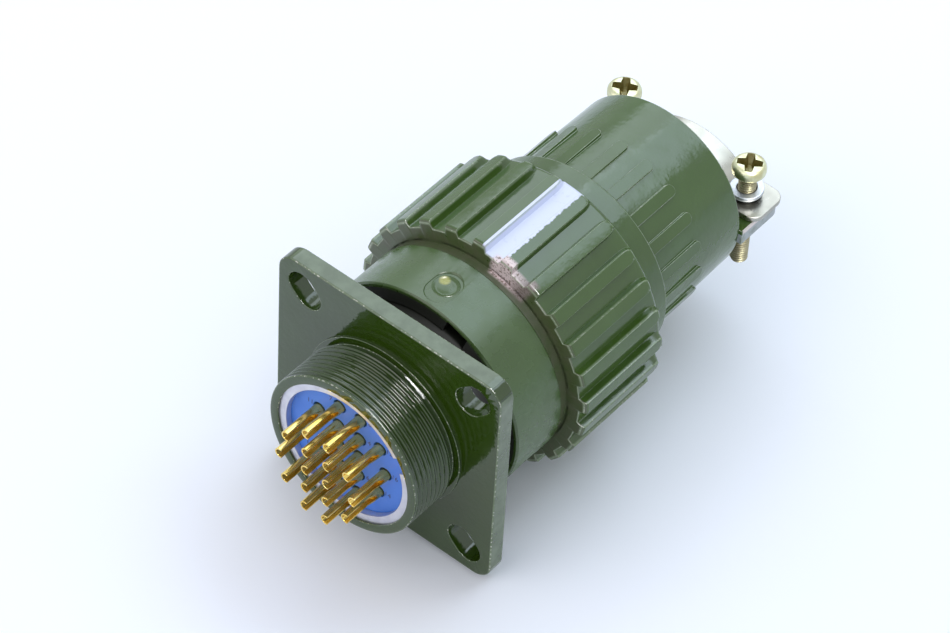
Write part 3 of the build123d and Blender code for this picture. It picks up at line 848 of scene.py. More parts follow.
def ease(mesh: bpy.types.Mesh, width: float, apart: bool = False) -> bpy.types.Mesh:
    """Merges a mesh's flat faces and eases its sharp edges.

    Args:
        mesh: The mesh, which is changed.
        width: How far the easing reaches from each edge, in millimetres.
        apart: Keeps the full width beside tiny facets, and shades the easing on its own.

    Returns:
        The same mesh, with an "edge" attribute that marks the eased edges.
    """
    with edited(mesh) as work:
        bmesh.ops.remove_doubles(work, verts=work.verts, dist=WELD)
        bmesh.ops.dissolve_limit(
            work,
            angle_limit=FLAT_WITHIN,
            verts=work.verts,
            edges=work.edges,
            use_dissolve_boundaries=False,
        )
        bmesh.ops.dissolve_degenerate(work, dist=WELD, edges=work.edges)
        sharp = [
            edge
            for edge in work.edges
            if len(edge.link_faces) == 2 and edge.calc_face_angle(0) > EASED_FROM
        ]
        eased = bmesh.ops.bevel(
            work,
            geom=sharp,
            offset=width * MM,
            offset_type="OFFSET",
            segments=2,
            profile=0.5,
            affect="EDGES",
            clamp_overlap=not apart,
            miter_outer="SHARP",
        )
        new_faces = set(eased["faces"])
        layer = work.verts.layers.float.new("edge")
        for vert in work.verts:
            faces = vert.link_faces
            vert[layer] = float(bool(faces) and all(face in new_faces for face in faces))
        if apart:
            crisp = work.edges.layers.float.new("crisp")
            for edge in work.edges:
                edge[crisp] = float(len({face in new_faces for face in edge.link_faces}) == 2)
    return mesh


def cut_mesh(whole: bpy.types.Mesh, tool: bpy.types.Mesh, operation: str) -> bpy.types.Mesh:
    """Cuts a closed mesh with a tool by "DIFFERENCE" or "INTERSECT", and keeps its name."""
    pieces = [show(mesh.name, mesh) for mesh in (whole, tool)]
    cut = pieces[0].modifiers.new("cut", "BOOLEAN")
    cut.operation = operation
    cut.solver = "EXACT"
    cut.object = pieces[1]
    made = baked(pieces[0])
    made.name = whole.name
    for piece in pieces:
        bpy.data.objects.remove(piece)
    return made


def smooth(share: float) -> float:
    """Eases a share between 0 and 1 at both ends, and holds it there."""
    share = min(1.0, max(0.0, share))
    return share * share * (3 - 2 * share)


def thread_share(turns: float) -> float:
    """Depth share of a rounded thread: 0 on its crest and 1 at its root.

    Args:
        turns: Place along the axis in pitches, less the angle in turns.

    Returns:
        The share of the full depth.
    """
    crest, flank = 0.14, 0.72
    return smooth((abs(2 * (turns % 1.0) - 1) - crest) / flank)


# Sub-assemblies


@dataclass
class ReceptacleShell:
    """Square flange with a threaded rear barrel and the bayonet barrel, in one casting."""

    side: float = 42.0
    thickness: float = 3.0
    corner: float = 3.2
    edge: float = 0.28
    slot_width: float = 4.9
    slot_length: float = 6.7
    slot_centre: float = 15.9
    slot_edge: float = 0.18
    slot_draft: float = 0.2
    hole_radius: float = 13.6
    barrel_radius: float = 14.0
    barrel_end: float = -9.6
    bore_radius: float = 12.4
    thread_end: float = -1.7
    pitch: float = 1.0
    thread_depth: float = 0.42
    thread_gap: float = 0.25
    thread_fade: Point2 = (0.35, 0.5)
    relief_radius: float = 13.25
    boss_radius: float = 14.5
    boss_length: float = 0.3
    web: tuple[float, float] = (-1.0, 2.0)
    web_radius: float = 10.8
    front_radius: float = 15.2
    front_bore: float = 13.2
    groove: tuple[float, float, float] = (-9.25, -7.95, 12.8)
    keyway_radius: float = 13.95
    keyways: tuple[tuple[float, float], ...] = (
        (150.0, 3.4),
        (20.0, 2.2),
        (50.0, 2.2),
        (240.0, 2.2),
        (270.0, 2.2),
    )
    front_end: float = 19.0
    steps: int = 288
    corner_steps: int = 12
    slot_steps: int = 14
    hole_steps: int = 96
    edge_steps: int = 4
    thread_rows: int = 14
    thread_runout: float = 0.25
    bore_margin: float = 0.2
    barrel_margin: float = 0.3

    def outline(self, inset: float) -> list[Point2]:
        """Flange outline as (y, z), moved inwards by an inset."""
        half = self.side / 2 - inset
        radius = self.corner - inset
        points = []
        for quarter in range(4):
            middle = radians(45 + 90 * quarter)
            centre = (
                (half - radius) * (1 if cos(middle) > 0 else -1),
                (half - radius) * (1 if sin(middle) > 0 else -1),
            )
            for step in range(self.corner_steps + 1):
                angle = middle + radians(-45 + 90 * step / self.corner_steps)
                points.append((centre[0] + radius * cos(angle), centre[1] + radius * sin(angle)))
        return points

    def slot_outline(self, angle: float, grow: float) -> list[Point2]:
        """Outline of the fixing slot at an angle, widened by grow."""
        radius = self.slot_width / 2 + grow
        reach = (self.slot_length - self.slot_width) / 2
        distance = hypot(self.slot_centre, self.slot_centre)
        points = []
        for end in (1, -1):
            for step in range(self.slot_steps + 1):
                turn = radians(-90 + 180 * step / self.slot_steps) + (0 if end > 0 else pi)
                u = distance + end * reach + radius * cos(turn)
                v = radius * sin(turn)
                points.append((u * cos(angle) - v * sin(angle), u * sin(angle) + v * cos(angle)))
        return points

    def plate(self) -> bpy.types.Mesh:
        """Builds the flange plate with rounded edges, its four slots and the barrel's hole."""
        draft = Draft()
        caps: tuple[list[list[int]], list[list[int]]] = ([], [])

        def wall(stations: Sequence[tuple[float, Sequence[Point2], float]]) -> None:
            loops = [
                [draft.add((x, y, z), edge) for y, z in outline] for x, outline, edge in stations
            ]
            draft.loft(loops)
            caps[0].append(loops[0])
            caps[1].append(loops[-1])

        def stations(edge: float, outline: Callable[[float], Sequence[Point2]]) -> list:
            rear = []
            steps = self.edge_steps
            for a in (radians(90 * step / steps) for step in range(steps + 1)):
                share = 1 - abs(a / radians(45) - 1)
                rear.append((edge * (1 - cos(a)), outline(edge * (1 - sin(a))), share))
            return rear + [(self.thickness - x, loop, share) for x, loop, share in reversed(rear)]

        wall(stations(self.edge, self.outline))
        for quarter in range(4):
            angle = radians(45 + 90 * quarter)
            rows = stations(self.slot_edge, lambda grow, at=angle: self.slot_outline(at, grow))
            tapered = []
            for x, outline, edge in rows:
                middle = Vector([sum(values) / len(outline) for values in zip(*outline)])
                shrink = 1 - self.slot_draft * x / self.thickness / (self.slot_width / 2)
                points = [tuple(middle + (Vector(point) - middle) * shrink) for point in outline]
                tapered.append((x, points, edge))
            wall(tapered)
        turns = [2 * pi * step / self.hole_steps for step in range(self.hole_steps)]
        circle = [(self.hole_radius * cos(a), self.hole_radius * sin(a)) for a in turns]
        wall([(0.0, circle, 0.0), (self.thickness, circle, 0.0)])
        made = draft.mesh("flange")
        with edited(made) as work:
            work.verts.ensure_lookup_table()
            for loops, normal in zip(caps, ((-1, 0, 0), (1, 0, 0))):
                rims = []
                for loop in loops:
                    for here, there in zip(loop, loop[1:] + loop[:1]):
                        rims.append(work.edges.get((work.verts[here], work.verts[there])))
                bmesh.ops.triangle_fill(work, use_beauty=True, edges=rims, normal=normal)
            bmesh.ops.recalc_face_normals(work, faces=work.faces)
        return made

    def cut_radius(self, x: float, radius: float, angle: float) -> float:
        """Plain profile's radius at a place, with the right-hand thread or a keyway cut in."""
        if x > self.web[1] and radius <= self.front_bore + self.bore_margin:
            for middle, width in self.keyways:
                turn = (degrees(angle) - middle + 180) % 360 - 180
                if abs(turn) < degrees(width / 2 / self.front_bore):
                    return self.keyway_radius
            return radius
        start, end = self.barrel_end + self.thread_gap, self.thread_end
        if radius < self.barrel_radius - self.barrel_margin or not start < x < end:
            return radius
        fade = min(1.0, (x - start) / self.thread_fade[0], (end - x) / self.thread_fade[1])
        return radius - self.thread_depth * fade * thread_share(x / self.pitch - angle / (2 * pi))

    def turned(self) -> Draft:
        """Builds the two barrels and the web between them as one turned form."""
        profile = [
            Corner(self.barrel_end, self.bore_radius, 0.25),
            Corner(self.barrel_end, self.barrel_radius, 0.3),
            Corner(self.thread_end, self.barrel_radius),
            Corner(self.thread_end + self.thread_runout, self.relief_radius, 0.15),
            Corner(-self.boss_length, self.relief_radius, 0.15),
            Corner(-self.boss_length, self.boss_radius, 0.12),
            Corner(self.thickness / 2, self.boss_radius),
            Corner(self.thickness / 2, self.front_radius),
            Corner(self.front_end, self.front_radius, 0.3),
            Corner(self.front_end, self.front_bore, 0.2),
            Corner(self.web[1], self.front_bore),
            Corner(self.web[1], self.web_radius),
            Corner(self.web[0], self.web_radius),
            Corner(self.web[0], self.bore_radius),
            Corner(self.groove[1], self.bore_radius),
            Corner(self.groove[1], self.groove[2]),
            Corner(self.groove[0], self.groove[2]),
            Corner(self.groove[0], self.bore_radius, 0.08),
        ]
        spacing = self.pitch / self.thread_rows
        points = with_run(rounded(profile, 3), self.barrel_radius, spacing)
        draft = Draft()
        draft.revolve(points, self.steps, self.cut_radius)
        return draft

    def build(self) -> None:
        """Builds the shell and its flange."""
        for mesh in (self.turned().mesh("receptacle_barrels"), self.plate()):
            finish_piece(mesh, SHELL_ENAMEL, Body.RECEPTACLE, Slot.ENAMEL, ["receptacle_shell"])


@dataclass
class Studs:
    """Three bayonet studs with domed heads."""

    radius: float = 1.68
    foot: float = 13.4
    crown: float = 17.86
    dome: float = 0.3

    def build(self) -> None:
        """Builds the studs, each in place of its CAD node."""
        for number, angle in enumerate(STUD_ANGLES, start=1):
            draft = Draft()
            profile = rounded(
                [
                    Corner(self.foot, AXIS),
                    Corner(self.foot, self.radius),
                    Corner(self.crown, self.radius, self.dome),
                    Corner(self.crown, AXIS),
                ]
            )
            draft.revolve(profile, AROUND)
            mesh = draft.mesh(f"stud_{number}")
            turn = Matrix.Rotation(radians(angle - 90), 4, "X")
            mesh.transform(turn @ Matrix.Translation(Vector((STUD_AT, 0, 0)) * MM) @ UPRIGHT)
            node = f"bayonet_stud_{number}"
            finish_piece(mesh, STUD_ENAMEL, Body.RECEPTACLE, Slot.BRASS, [node])


@dataclass
class CouplingRing:
    """Coupling ring: a smooth collar with three windows, and a grip of round-ended ribs."""

    node: str = "coupling_ring"
    collar_radius: float = 18.44
    front: float = 20.0
    rear: float = 39.5
    annulus_radius: float = 18.2
    valley_radius: float = 20.4
    rib_height: float = 1.36
    ribs: int = 25
    rib_half: float = 1.16
    rib_corner: float = 0.7
    wall: float = 0.4
    rib_end: float = 38.5
    end_slope: float = 0.35
    front_round: float = 0.6
    rear_round: float = 0.9
    # Edge marks on the rib crests and on the front row give both chips and the painted edge
    # highlight.
    crest_mark: float = 0.58
    front_ease: float = 0.22
    spread_radius: float = 21.0
    valley_middle: float = 2.64
    worn_row: float = 0.05
    core_front: float = 7.0
    core_short: float = 0.1
    core_margin: float = 0.01
    core_steps: int = 240
    collar_easing: float = 0.1
    crest_from: float = 0.2
    crest_shares: Point2 = (0.8, 0.999)
    bead_section: tuple[Point2, ...] = (
        (17.92, 2.15),
        (17.92, 0.02),
        (18.12, 0.02),
        (18.11, 0.8),
        (18.07, 1.15),
        (18.0, 1.4),
        (18.0, 1.58),
        (18.08, 1.76),
        (18.17, 1.9),
        (18.2, 2.0),
        (18.16, 2.1),
        (18.08, 2.15),
    )

    def collar(self, frame: Mapping) -> bpy.types.Mesh:
        """Takes the collar, its windows and the bayonet ramps from the CAD solid."""
        whole = frame["nodes"][self.node].data.copy()
        whole.name = "windowed_collar"
        with edited(whole) as work:
            bmesh.ops.remove_doubles(work, verts=work.verts, dist=WELD)
        draft = Draft()
        radius = self.collar_radius + self.core_margin
        front, rear = self.core_front, self.rear - self.core_short
        section = ((front, AXIS), (front, radius), (rear, radius), (rear, AXIS))
        draft.revolve([(x, up, 0.0) for x, up in section], self.core_steps)
        return ease(cut_mesh(whole, draft.mesh("core"), "INTERSECT"), self.collar_easing)

    def rib_share(self, x: float, across: float) -> float:
        """Share of the rib's height, 1 on its top, at a distance across from its middle."""
        corner = self.rib_corner
        ahead = (x - self.rib_end) * self.end_slope + corner
        beside = abs(across) - self.rib_half + corner
        away = hypot(max(ahead, 0.0), max(beside, 0.0)) + min(max(ahead, beside), 0.0) - corner
        return smooth(0.5 - away / self.wall)

    def grip(self) -> Draft:
        """Builds the grip as one closed sleeve."""
        beside = [0.6, 0.85, 0.9, 0.94, 0.98, 1.02, 1.07, 1.13]
        beside += [1.19, 1.25, 1.3, 1.34, 1.38, 1.42, 1.48, 2.0]
        offsets = [-value for value in reversed(beside)] + [0.0] + beside + [self.valley_middle]
        rows = [0.0, 0.05, 0.12, 0.22, 0.35, 0.5, 0.65, 0.9, 4.0, 8.0, 12.0, 15.0, 16.0]
        rows += [16.2 + 0.15 * step for step in range(22)]
        draft = Draft()
        loops: list[list[int]] = []
        angles = [
            (90 + 360 * (rib / self.ribs) + degrees(offset / self.spread_radius), offset)
            for rib in range(self.ribs)
            for offset in offsets
        ]

        def loop(x: float, radii: Sequence[float], edge: float = 0.0) -> list[int]:
            low, high = self.crest_shares
            crest = self.crest_mark if self.front + self.crest_from < x < self.rear else 0.0
            return [
                draft.add(
                    (x, radius * cos(radians(a)), radius * sin(radians(a))),
                    max(edge, crest * float(low < self.rib_share(x, offset) < high)),
                )
                for (a, offset), radius in zip(angles, radii)
            ]

        plain = [self.annulus_radius] * len(angles)
        loops.append(loop(self.front, plain))
        for row in rows:
            x = self.front + row
            valley = self.valley_radius
            if row < self.front_ease:
                lack = self.front_ease - row
                valley -= self.front_ease - sqrt(self.front_ease**2 - lack**2)
            late = (x - self.rear + self.rear_round) / self.rear_round
            if late > 0:
                valley -= self.rear_round * (1 - sqrt(1 - min(late, 1.0) ** 2))
            tall = self.rib_height
            if row < self.front_round:
                lack = self.front_round - row
                tall -= self.front_round - sqrt(self.front_round**2 - lack**2)
            radii = [valley + tall * self.rib_share(x, offset) for _, offset in angles]
            loops.append(loop(x, radii, 1.0 if row == self.worn_row else 0.0))
        loops.append(loop(self.rear, plain))
        loops.append(loops[0])
        draft.loft(loops)
        return draft

    def beads(self) -> Draft:
        """Builds the beads of enamel round the three studs."""
        draft = Draft()
        for angle in STUD_ANGLES:
            turn = Matrix.Rotation(radians(angle - 90), 3, "X")
            loops = []
            for up, radius in self.bead_section:
                loop = []
                for step in range(AROUND):
                    a = 2 * pi * step / AROUND
                    spot = Vector((STUD_AT + radius * cos(a), radius * sin(a), up))
                    loop.append(draft.add(tuple(turn @ spot)))
                loops.append(loop)
            draft.loft(loops + [loops[0]])
        return draft

    def build(self, frame: Mapping) -> None:
        """Builds the ring's pieces in place of its CAD node."""
        pieces = (
            (self.collar(frame), RING_ENAMEL),
            (self.grip().mesh("ribbed_grip"), GRIP_ENAMEL),
            (self.beads().mesh("stud_beads"), RING_ENAMEL),
        )
        for mesh, finish in pieces:
            finish_piece(mesh, finish, Body.RING, Slot.ENAMEL, [self.node])


@dataclass
class Contacts:
    """Sixteen gold contacts, whose solder cups stand out of the insert."""

    columns: tuple[tuple[float, tuple[float, ...]], ...] = (
        (2.0, (0.0, 3.9, -3.9, 8.0, -8.0)),
        (5.8, (4.65, -4.65)),
        (7.0, (0.0,)),
    )
    cup_radius: float = 0.92
    bore_radius: float = 0.68
    tip: float = -15.29
    depth: float = 6.5
    drill_point: float = 0.3
    shoulder: float = -2.6
    pin_radius: float = 0.5
    pin_tip: float = 13.0
    cut_offset: float = 0.3
    cut_length: float = 4.7
    cut_runout: float = 2.5
    cut_easing: float = 0.035
    cut_lead: float = 1.0
    cut_corner: float = 50.0

    def places(self) -> list[Point2]:
        """Contact places as (y, z), in the order of their numbers."""
        return [
            (side * column, row)
            for column, rows in self.columns
            for row in rows
            for side in (1, -1)
        ]

    def cup(self) -> bpy.types.Object:
        """Builds one contact on the axis, with its cup cut open towards -Y."""
        profile = [
            Corner(self.tip, self.bore_radius, 0.05),
            Corner(self.tip, self.cup_radius, 0.06),
            Corner(self.shoulder, self.cup_radius, 0.1),
            Corner(self.shoulder, self.pin_radius),
            Corner(self.pin_tip, self.pin_radius, 0.25),
            Corner(self.pin_tip, AXIS),
            Corner(self.tip + self.depth + self.drill_point, AXIS),
            Corner(self.tip + self.depth, self.bore_radius),
        ]
        draft = Draft()
        draft.revolve(rounded(profile, 3), AROUND)
        cutter = Draft()
        wide = 2 * self.cup_radius
        cut_end = self.tip + self.cut_length
        side = [
            (self.tip - self.cut_lead, -self.cut_offset),
            (cut_end, -self.cut_offset),
            (cut_end + self.cut_runout, -self.cup_radius),
            (cut_end + self.cut_runout, -wide),
            (self.tip - self.cut_lead, -wide),
        ]
        low = [cutter.add((x, y, -wide)) for x, y in side]
        high = [cutter.add((x, y, wide)) for x, y in side]
        cutter.loft([low, high])
        cutter.faces += [tuple(reversed(low)), tuple(high)]
        whole, tool = draft.mesh("cup_body"), cutter.mesh("cup_cutter")
        body = show("cup_body", cut_mesh(whole, tool, "DIFFERENCE"))
        soft = body.modifiers.new("soft", "BEVEL")
        soft.width = self.cut_easing * MM
        soft.segments = 2
        soft.limit_method = "ANGLE"
        soft.angle_limit = radians(self.cut_corner)
        mesh = baked(body)
        bpy.data.objects.remove(body)
        mesh.shade_smooth()
        mesh.set_sharp_from_angle(angle=SHARP_FROM)
        return show("cup", mesh)

    def tree(self) -> Tree:
        """Makes the node tree that sets a contact at each point of a mesh."""
        tree = bpy.data.node_groups.new("contacts_on_places", "GeometryNodeTree")
        for name, in_out, kind in (
            ("Places", "INPUT", "NodeSocketGeometry"),
            ("Contact", "INPUT", "NodeSocketObject"),
            ("Finish", "INPUT", "NodeSocketMaterial"),
            ("Contacts", "OUTPUT", "NodeSocketGeometry"),
        ):
            tree.interface.new_socket(name, in_out=in_out, socket_type=kind)
        given = add_node(tree, "NodeGroupInput")
        shape = add_node(tree, "GeometryNodeObjectInfo", {"Object": given.outputs["Contact"]})
        placed = add_node(
            tree,
            "GeometryNodeInstanceOnPoints",
            {"Points": given.outputs["Places"], "Instance": shape.outputs["Geometry"]},
        )
        real = add_node(
            tree, "GeometryNodeRealizeInstances", {"Geometry": placed.outputs["Instances"]}
        )
        dressed = add_node(
            tree,
            "GeometryNodeSetMaterial",
            {"Geometry": real.outputs["Geometry"], "Material": given.outputs["Finish"]},
        )
        add_node(tree, "NodeGroupOutput", {"Contacts": dressed.outputs["Geometry"]})
        return tree

    def build(self) -> None:
        """Builds the sixteen contacts as one mesh."""
        cup = self.cup()
        base = bpy.data.meshes.new("pin_contacts")
        base.from_pydata([Vector((0, y, z)) * MM for y, z in self.places()], [], [])
        mesh = run_tree(base, self.tree(), {"Contact": cup, "Finish": GOLD.material()})
        bpy.data.objects.remove(cup)
        nodes = [f"pin_contact_{number:02d}" for number in range(1, len(self.places()) + 1)]
        finish_piece(mesh, GOLD, Body.RECEPTACLE, Slot.GOLD, nodes)


@dataclass
class CopiedPiece:
    """A piece whose form comes from its CAD solid, with eased edges and a finish."""

    node: str
    name: str
    finish: Finish
    body: Body
    slot: Slot
    easing: float
    apart: bool = False

    def build(self, frame: Mapping) -> None:
        """Builds the piece in place of its CAD node."""
        mesh = frame["nodes"][self.node].data.copy()
        mesh.name = self.name
        ease(mesh, self.easing, self.apart)
        finish_piece(mesh, self.finish, self.body, self.slot, [self.node])


@dataclass
class InsertFace:
    """Blue insert that holds the contacts, with its contact numbers printed on the face."""

    face: float = -8.0
    digit_height: float = 0.95
    digit_offset: float = 1.75
    digit_relief: float = 0.012
    digit_rise: float = 0.35
    type_size: float = 1.35
    digit_steps: int = 3

    def numbers(self, places: Sequence[Point2]) -> bpy.types.Mesh:
        """Makes one mesh of the printed numbers, each beside its contact's place (y, z)."""
        joined = bmesh.new()
        facing = Matrix(((0, 0, -1), (-1, 0, 0), (0, 1, 0))).to_4x4()
        for number, (y, z) in enumerate(places, start=1):
            text = bpy.data.curves.new(f"number_{number}", "FONT")
            text.body = str(number)
            text.size = self.digit_height * self.type_size * MM
            text.extrude = self.digit_relief * MM
            text.align_x = "CENTER"
            text.align_y = "CENTER"
            text.resolution_u = self.digit_steps
            carrier = show(text.name, text)
            mesh = baked(carrier)
            beside = self.digit_offset if y > 0 else -self.digit_offset
            spot = Vector((self.face, y + beside, z + self.digit_rise)) * MM
            mesh.transform(Matrix.Translation(spot) @ facing)
            joined.from_mesh(mesh)
            bpy.data.objects.remove(carrier)
        made = bpy.data.meshes.new("contact_numbers")
        joined.to_mesh(made)
        joined.free()
        return made

    def build(self, frame: Mapping, places: Sequence[Point2]) -> None:
        """Builds the insert and its numbers."""
        INSERT.build(frame)
        finish_piece(self.numbers(places), MARKING_INK, Body.RECEPTACLE, Slot.INSERT)


@dataclass
class ClampScrew:
    """Pan-head machine screw with a rolled thread and a cross recess."""

    name: str
    node: str
    body: Body
    centre: Point2
    radius: float = 1.45
    pitch: float = 0.5
    thread_depth: float = 0.24
    tip: float = -13.3
    tip_narrow: float = 0.35
    tip_length: float = 0.4
    seat: float = 5.9
    top: float = 8.0
    head_radius: float = 2.75
    dome: float = 1.4
    underside: float = 0.65
    recess_length: float = 4.1
    recess_width: float = 1.15
    recess_web: float = 0.78
    recess_depth: float = 1.6
    recess_above: float = 0.4
    recess_rim: float = 0.6
    recess_floor: float = 0.3
    flat_top: float = 0.75
    thread_mark: Point2 = (0.5, 0.4)
    recess_shares: Point2 = (1.12, 0.45)
    recess_turn: float = 30.0
    head_gap: float = 0.25
    steps: int = 64
    round_steps: int = 10
    thread_rows: int = 10
    crest_margin: float = 0.02

    def cut_radius(self, x: float, radius: float, angle: float) -> float:
        """Plain profile's radius at a height along the screw, with the thread cut in."""
        if radius < self.radius - self.crest_margin or x >= self.seat - self.head_gap:
            return radius
        return radius - self.thread_depth * thread_share(x / self.pitch - angle / (2 * pi))

    def blank(self) -> Draft:
        """Builds the screw without its recess, along X."""
        profile = rounded(
            [
                Corner(self.tip, AXIS),
                Corner(self.tip, self.radius - self.tip_narrow),
                Corner(self.tip + self.tip_length, self.radius),
                Corner(self.seat, self.radius),
                Corner(self.seat, self.head_radius, self.underside),
                Corner(self.top, self.head_radius, self.dome),
                Corner(self.top, AXIS),
            ],
            self.round_steps,
        )
        points = with_run(profile, self.radius, self.pitch / self.thread_rows)
        draft = Draft()
        draft.revolve(points, self.steps, self.cut_radius)
        return draft

    def recess(self) -> Draft:
        """Builds the cross-shaped cutter, which narrows downwards."""
        draft = Draft()
        loops = []
        heights = (self.top + self.recess_above, self.top - self.recess_depth)
        for height, share in zip(heights, self.recess_shares):
            loop = []
            for arm in range(4):
                turn = radians(90 * arm + self.recess_turn)
                for along, across in (
                    (self.recess_length / 2, -self.recess_width / 2),
                    (self.recess_length / 2, self.recess_width / 2),
                    (self.recess_web, self.recess_web),
                ):
                    y = (along * cos(turn) - across * sin(turn)) * share
                    z = (along * sin(turn) + across * cos(turn)) * share
                    loop.append(draft.add((height, y, z)))
            loops.append(loop)
        draft.loft(loops)
        draft.faces += [tuple(reversed(loops[0])), tuple(loops[1])]
        return draft

    def build(self) -> None:
        """Builds the screw and stands it upright."""
        mesh = cut_mesh(
            self.blank().mesh(self.name), self.recess().mesh("cross_recess"), "DIFFERENCE"
        )
        # Painted shade: faces get a shade mark for the dark film, thread roots more than crests and
        # the sunk faces of the cross recess fully.
        shade_share = mesh.attributes.new("recess", "FLOAT", "FACE")
        for face, mark in zip(mesh.polygons, shade_share.data):
            up, across, deep = face.center / MM
            away = hypot(across, deep)
            if up < self.seat - self.head_gap:
                root = min(1.0, max(0.0, (self.radius - away) / self.thread_depth))
                mark.value = self.thread_mark[0] + self.thread_mark[1] * root
            else:
                inside = away < self.recess_length / 2 and self.seat + self.recess_floor < up
                sunk = face.normal.x < self.flat_top or up < self.top - self.recess_rim
                mark.value = float(inside and sunk)
        place = Vector((*self.centre, 0.0)) * MM
        mesh.transform(Matrix.Translation(place) @ UPRIGHT)
        mesh.name = self.name
        finish_piece(mesh, YELLOW_ZINC, self.body, Slot.ZINC, [self.node])


def run_tree(base: bpy.types.Mesh, tree: Tree, inputs: Mapping[str, object]) -> bpy.types.Mesh:
    """Runs a geometry node tree on a mesh, with values for its named inputs."""
    carrier = show(base.name, base)
    modifier = carrier.modifiers.new("tree", "NODES")
    modifier.node_group = tree
    identifiers = {
        item.name: item.identifier
        for item in tree.interface.items_tree
        if item.item_type == "SOCKET" and item.in_out == "INPUT"
    }
    for key, value in inputs.items():
        modifier[identifiers[key]] = value
    mesh = baked(carrier)
    mesh.name = base.name
    bpy.data.objects.remove(carrier)
    return mesh


@dataclass
class HiddenNodes:
    """Pieces inside the connector, which keep their CAD meshes and get real finishes."""

    finishes: Mapping[Slot, Finish]

    def build(self, frame: Mapping) -> None:
        """Gives every CAD node still shown the finish of its slot."""
        slots = {row["node"]: Slot(row["material_slot"]) for row in frame["record"]["subparts"]}
        for name, node in frame["nodes"].items():
            material = self.finishes[slots[name]].material()
            for slot in node.material_slots:
                slot.material = material
            if not node.hide_render:
                LOG.info("%s keeps its CAD mesh", name)


@dataclass
class Studio:
    """Pale floor, soft lights and the camera; light_distance and far are metres."""

    floor_height: float = -21.83
    floor_size: float = 9000.0
    target: Point3 = (25.272, 3.798, -1.335)
    light_distance: float = 1.0
    room: str = "#f5fbff"
    room_strength: Point2 = (0.84, 1.0)
    paper: str = "#f1f3fb"
    distance: float = 665.97
    azimuth: float = 52.817
    elevation: float = 47.766
    roll: float = 3.581
    lens: float = 168.28
    sensor: float = 36.0
    far: float = 50.0

    def camera(self) -> None:
        """Sets the camera at the photograph's angle."""
        data = bpy.data.cameras.new("camera")
        data.lens = self.lens
        data.sensor_width = self.sensor
        data.clip_end = self.far
        camera = show("camera", data)
        turn, tilt = radians(self.azimuth), radians(self.elevation)
        forward = Vector((sin(turn) * cos(tilt), cos(turn) * cos(tilt), -sin(tilt)))
        level = forward.cross(Vector((0, 0, 1))).normalized()
        upright = level.cross(forward)
        roll = radians(self.roll)
        right = level * cos(roll) + upright * sin(roll)
        up = right.cross(forward)
        place = (Vector(self.target) - forward * self.distance) * MM
        columns = Matrix((right, up, -forward)).transposed().to_4x4()
        camera.matrix_world = Matrix.Translation(place) @ columns
        bpy.context.scene.camera = camera

    def softbox(
        self, name: str, toward: Point3, size: Point2, radiance: float, colour: str
    ) -> bpy.types.Object:
        """Adds a soft light in a direction from the object, with its size in metres.

        Its radiance is its face's brightness, where 1 is a white surface in this light.
        """
        data = bpy.data.lights.new(name, "AREA")
        data.shape = "RECTANGLE"
        data.size, data.size_y = size
        data.energy = radiance * pi * size[0] * size[1]
        data.color = linear(colour)[:3]
        light = show(name, data)
        direction = Vector(toward).normalized()
        light.location = Vector(self.target) * MM + direction * self.light_distance
        light.rotation_euler = direction.to_track_quat("Z", "Y").to_euler()
        return light

    def surroundings(self) -> None:
        """Lights the scene with a pale room, which looks white to the camera and to gloss."""
        world = bpy.data.worlds.new("room")
        bpy.context.scene.world = world
        tree = cleared_tree(world)
        rays = add_node(tree, "ShaderNodeLightPath").outputs
        graph = Graph(tree, rays[0])
        seen = graph.math("MAXIMUM", rays["Is Camera Ray"], rays["Is Glossy Ray"])
        strength = graph.ramp(seen, 0.0, 1.0, *self.room_strength)
        inputs = {"Color": linear(self.room), "Strength": strength}
        light = add_node(tree, "ShaderNodeBackground", inputs)
        add_node(tree, "ShaderNodeOutputWorld", {"Surface": light.outputs[0]})

    def floor(self) -> None:
        """Builds the floor."""
        half = self.floor_size / 2
        corners = [(-half, -half), (half, -half), (half, half), (-half, half)]
        mesh = bpy.data.meshes.new("floor")
        mesh.from_pydata(
            [Vector((x, y, self.floor_height)) * MM for x, y in corners], [], [(0, 1, 2, 3)]
        )
        material = bpy.data.materials.new("matt_paper")
        tree = cleared_tree(material)
        inputs = {"Color": linear(self.paper), "Roughness": 0.0}
        shader = add_node(tree, "ShaderNodeBsdfDiffuse", inputs)
        add_node(tree, "ShaderNodeOutputMaterial", {"Surface": shader.outputs[0]})
        mesh.materials.append(material)
        floor = show("floor", mesh)

    def build(self) -> None:
        """Builds the stage, lights and camera."""
        self.floor()
        self.surroundings()
        self.softbox("key_softbox", (0.54, -0.1, 0.84), (0.7, 0.45), 2.7, "#dceeff")
        self.softbox("side_softbox", (0.54, 0.5, 0.68), (0.6, 0.5), 1.9, "#e6f2ff")
        self.softbox("left_softbox", (-0.72, 0.3, 0.62), (0.9, 0.8), 1.15, "#fff2f8")
        glint = self.softbox("glint_card", (-0.12, -0.42, 0.9), (0.12, 0.62), 62.0, "#ffffff")
        glint.visible_diffuse = False
        self.camera()
        bpy.context.scene.view_settings.view_transform = "Standard"


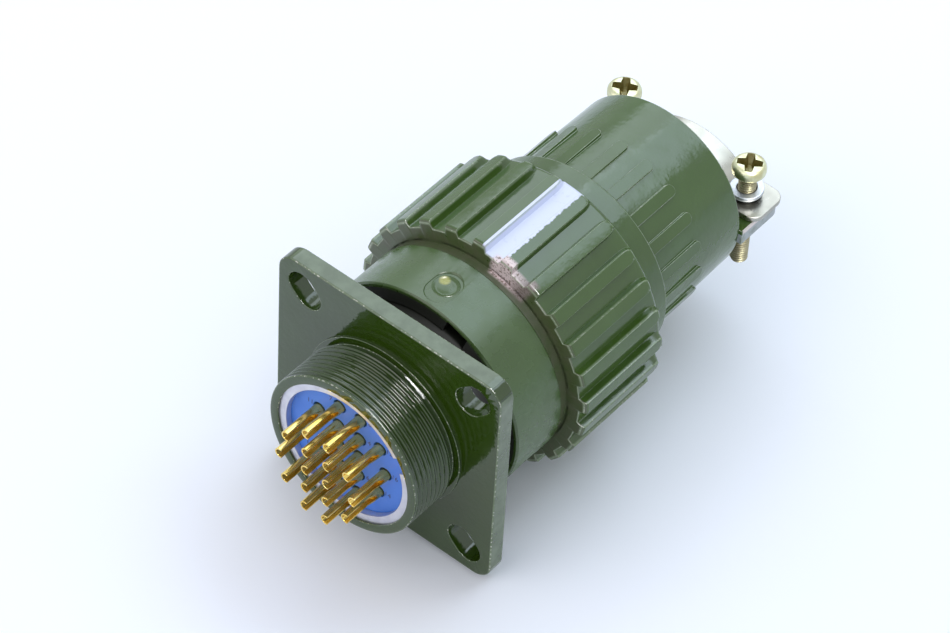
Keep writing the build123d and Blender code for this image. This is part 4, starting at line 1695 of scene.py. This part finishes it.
INSERT = CopiedPiece(
    "pin_insert_rear", "contact_insert", BLUE_THERMOSET, Body.RECEPTACLE, Slot.INSERT, 0.05
)
WASHERS = (("flat", "flat", SHADE_DARK_NICKEL, 0.06), ("spring", "lock", WASHER_STEEL, 0.08))
COPIED = (
    CopiedPiece(
        "backshell", "cable_backshell", BACKSHELL_ENAMEL, Body.PLUG, Slot.ENAMEL, 0.08, True
    ),
    CopiedPiece("clamp_strap", "cable_strap", NICKEL, Body.STRAP, Slot.NICKEL, 0.14),
    CopiedPiece(
        "insert_retaining_ring",
        "insert_split_ring",
        ALUMINIUM,
        Body.RECEPTACLE,
        Slot.ALUMINIUM,
        0.1,
    ),
    *(
        CopiedPiece(
            f"{kind}_washer_{side}",
            f"{side}_{name}_washer",
            finish,
            Body.STRAP,
            Slot.NICKEL,
            easing,
        )
        for kind, name, finish, easing in WASHERS
        for side in ("left", "right")
    ),
)
SLOT_FINISHES = {
    Slot.ENAMEL: SHELL_ENAMEL,
    Slot.BRASS: STUD_ENAMEL,
    Slot.RUBBER: BLACK_RUBBER,
    Slot.INSERT: BLUE_THERMOSET,
    Slot.ALUMINIUM: ALUMINIUM,
    Slot.GOLD: GOLD,
    Slot.SPRING: SPRING_STEEL,
    Slot.NICKEL: NICKEL,
    Slot.ZINC: YELLOW_ZINC,
}
SCREWS = (
    ClampScrew("left_screw", "clamp_screw_left", Body.SCREW_LEFT, (71.0, 12.2)),
    ClampScrew("right_screw", "clamp_screw_right", Body.SCREW_RIGHT, (71.0, -12.2)),
)


def main() -> None:
    """Builds the dressed connector and its stage."""
    logging.basicConfig(level=logging.INFO, format="%(name)s: %(message)s")
    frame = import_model()
    ReceptacleShell().build()
    contacts = Contacts()
    contacts.build()
    InsertFace().build(frame, contacts.places())
    for screw in SCREWS:
        screw.build()
    Studs().build()
    CouplingRing().build(frame)
    for piece in COPIED:
        piece.build(frame)
    HiddenNodes(SLOT_FINISHES).build(frame)
    Studio().build()


if __name__ == "__main__":
    main()
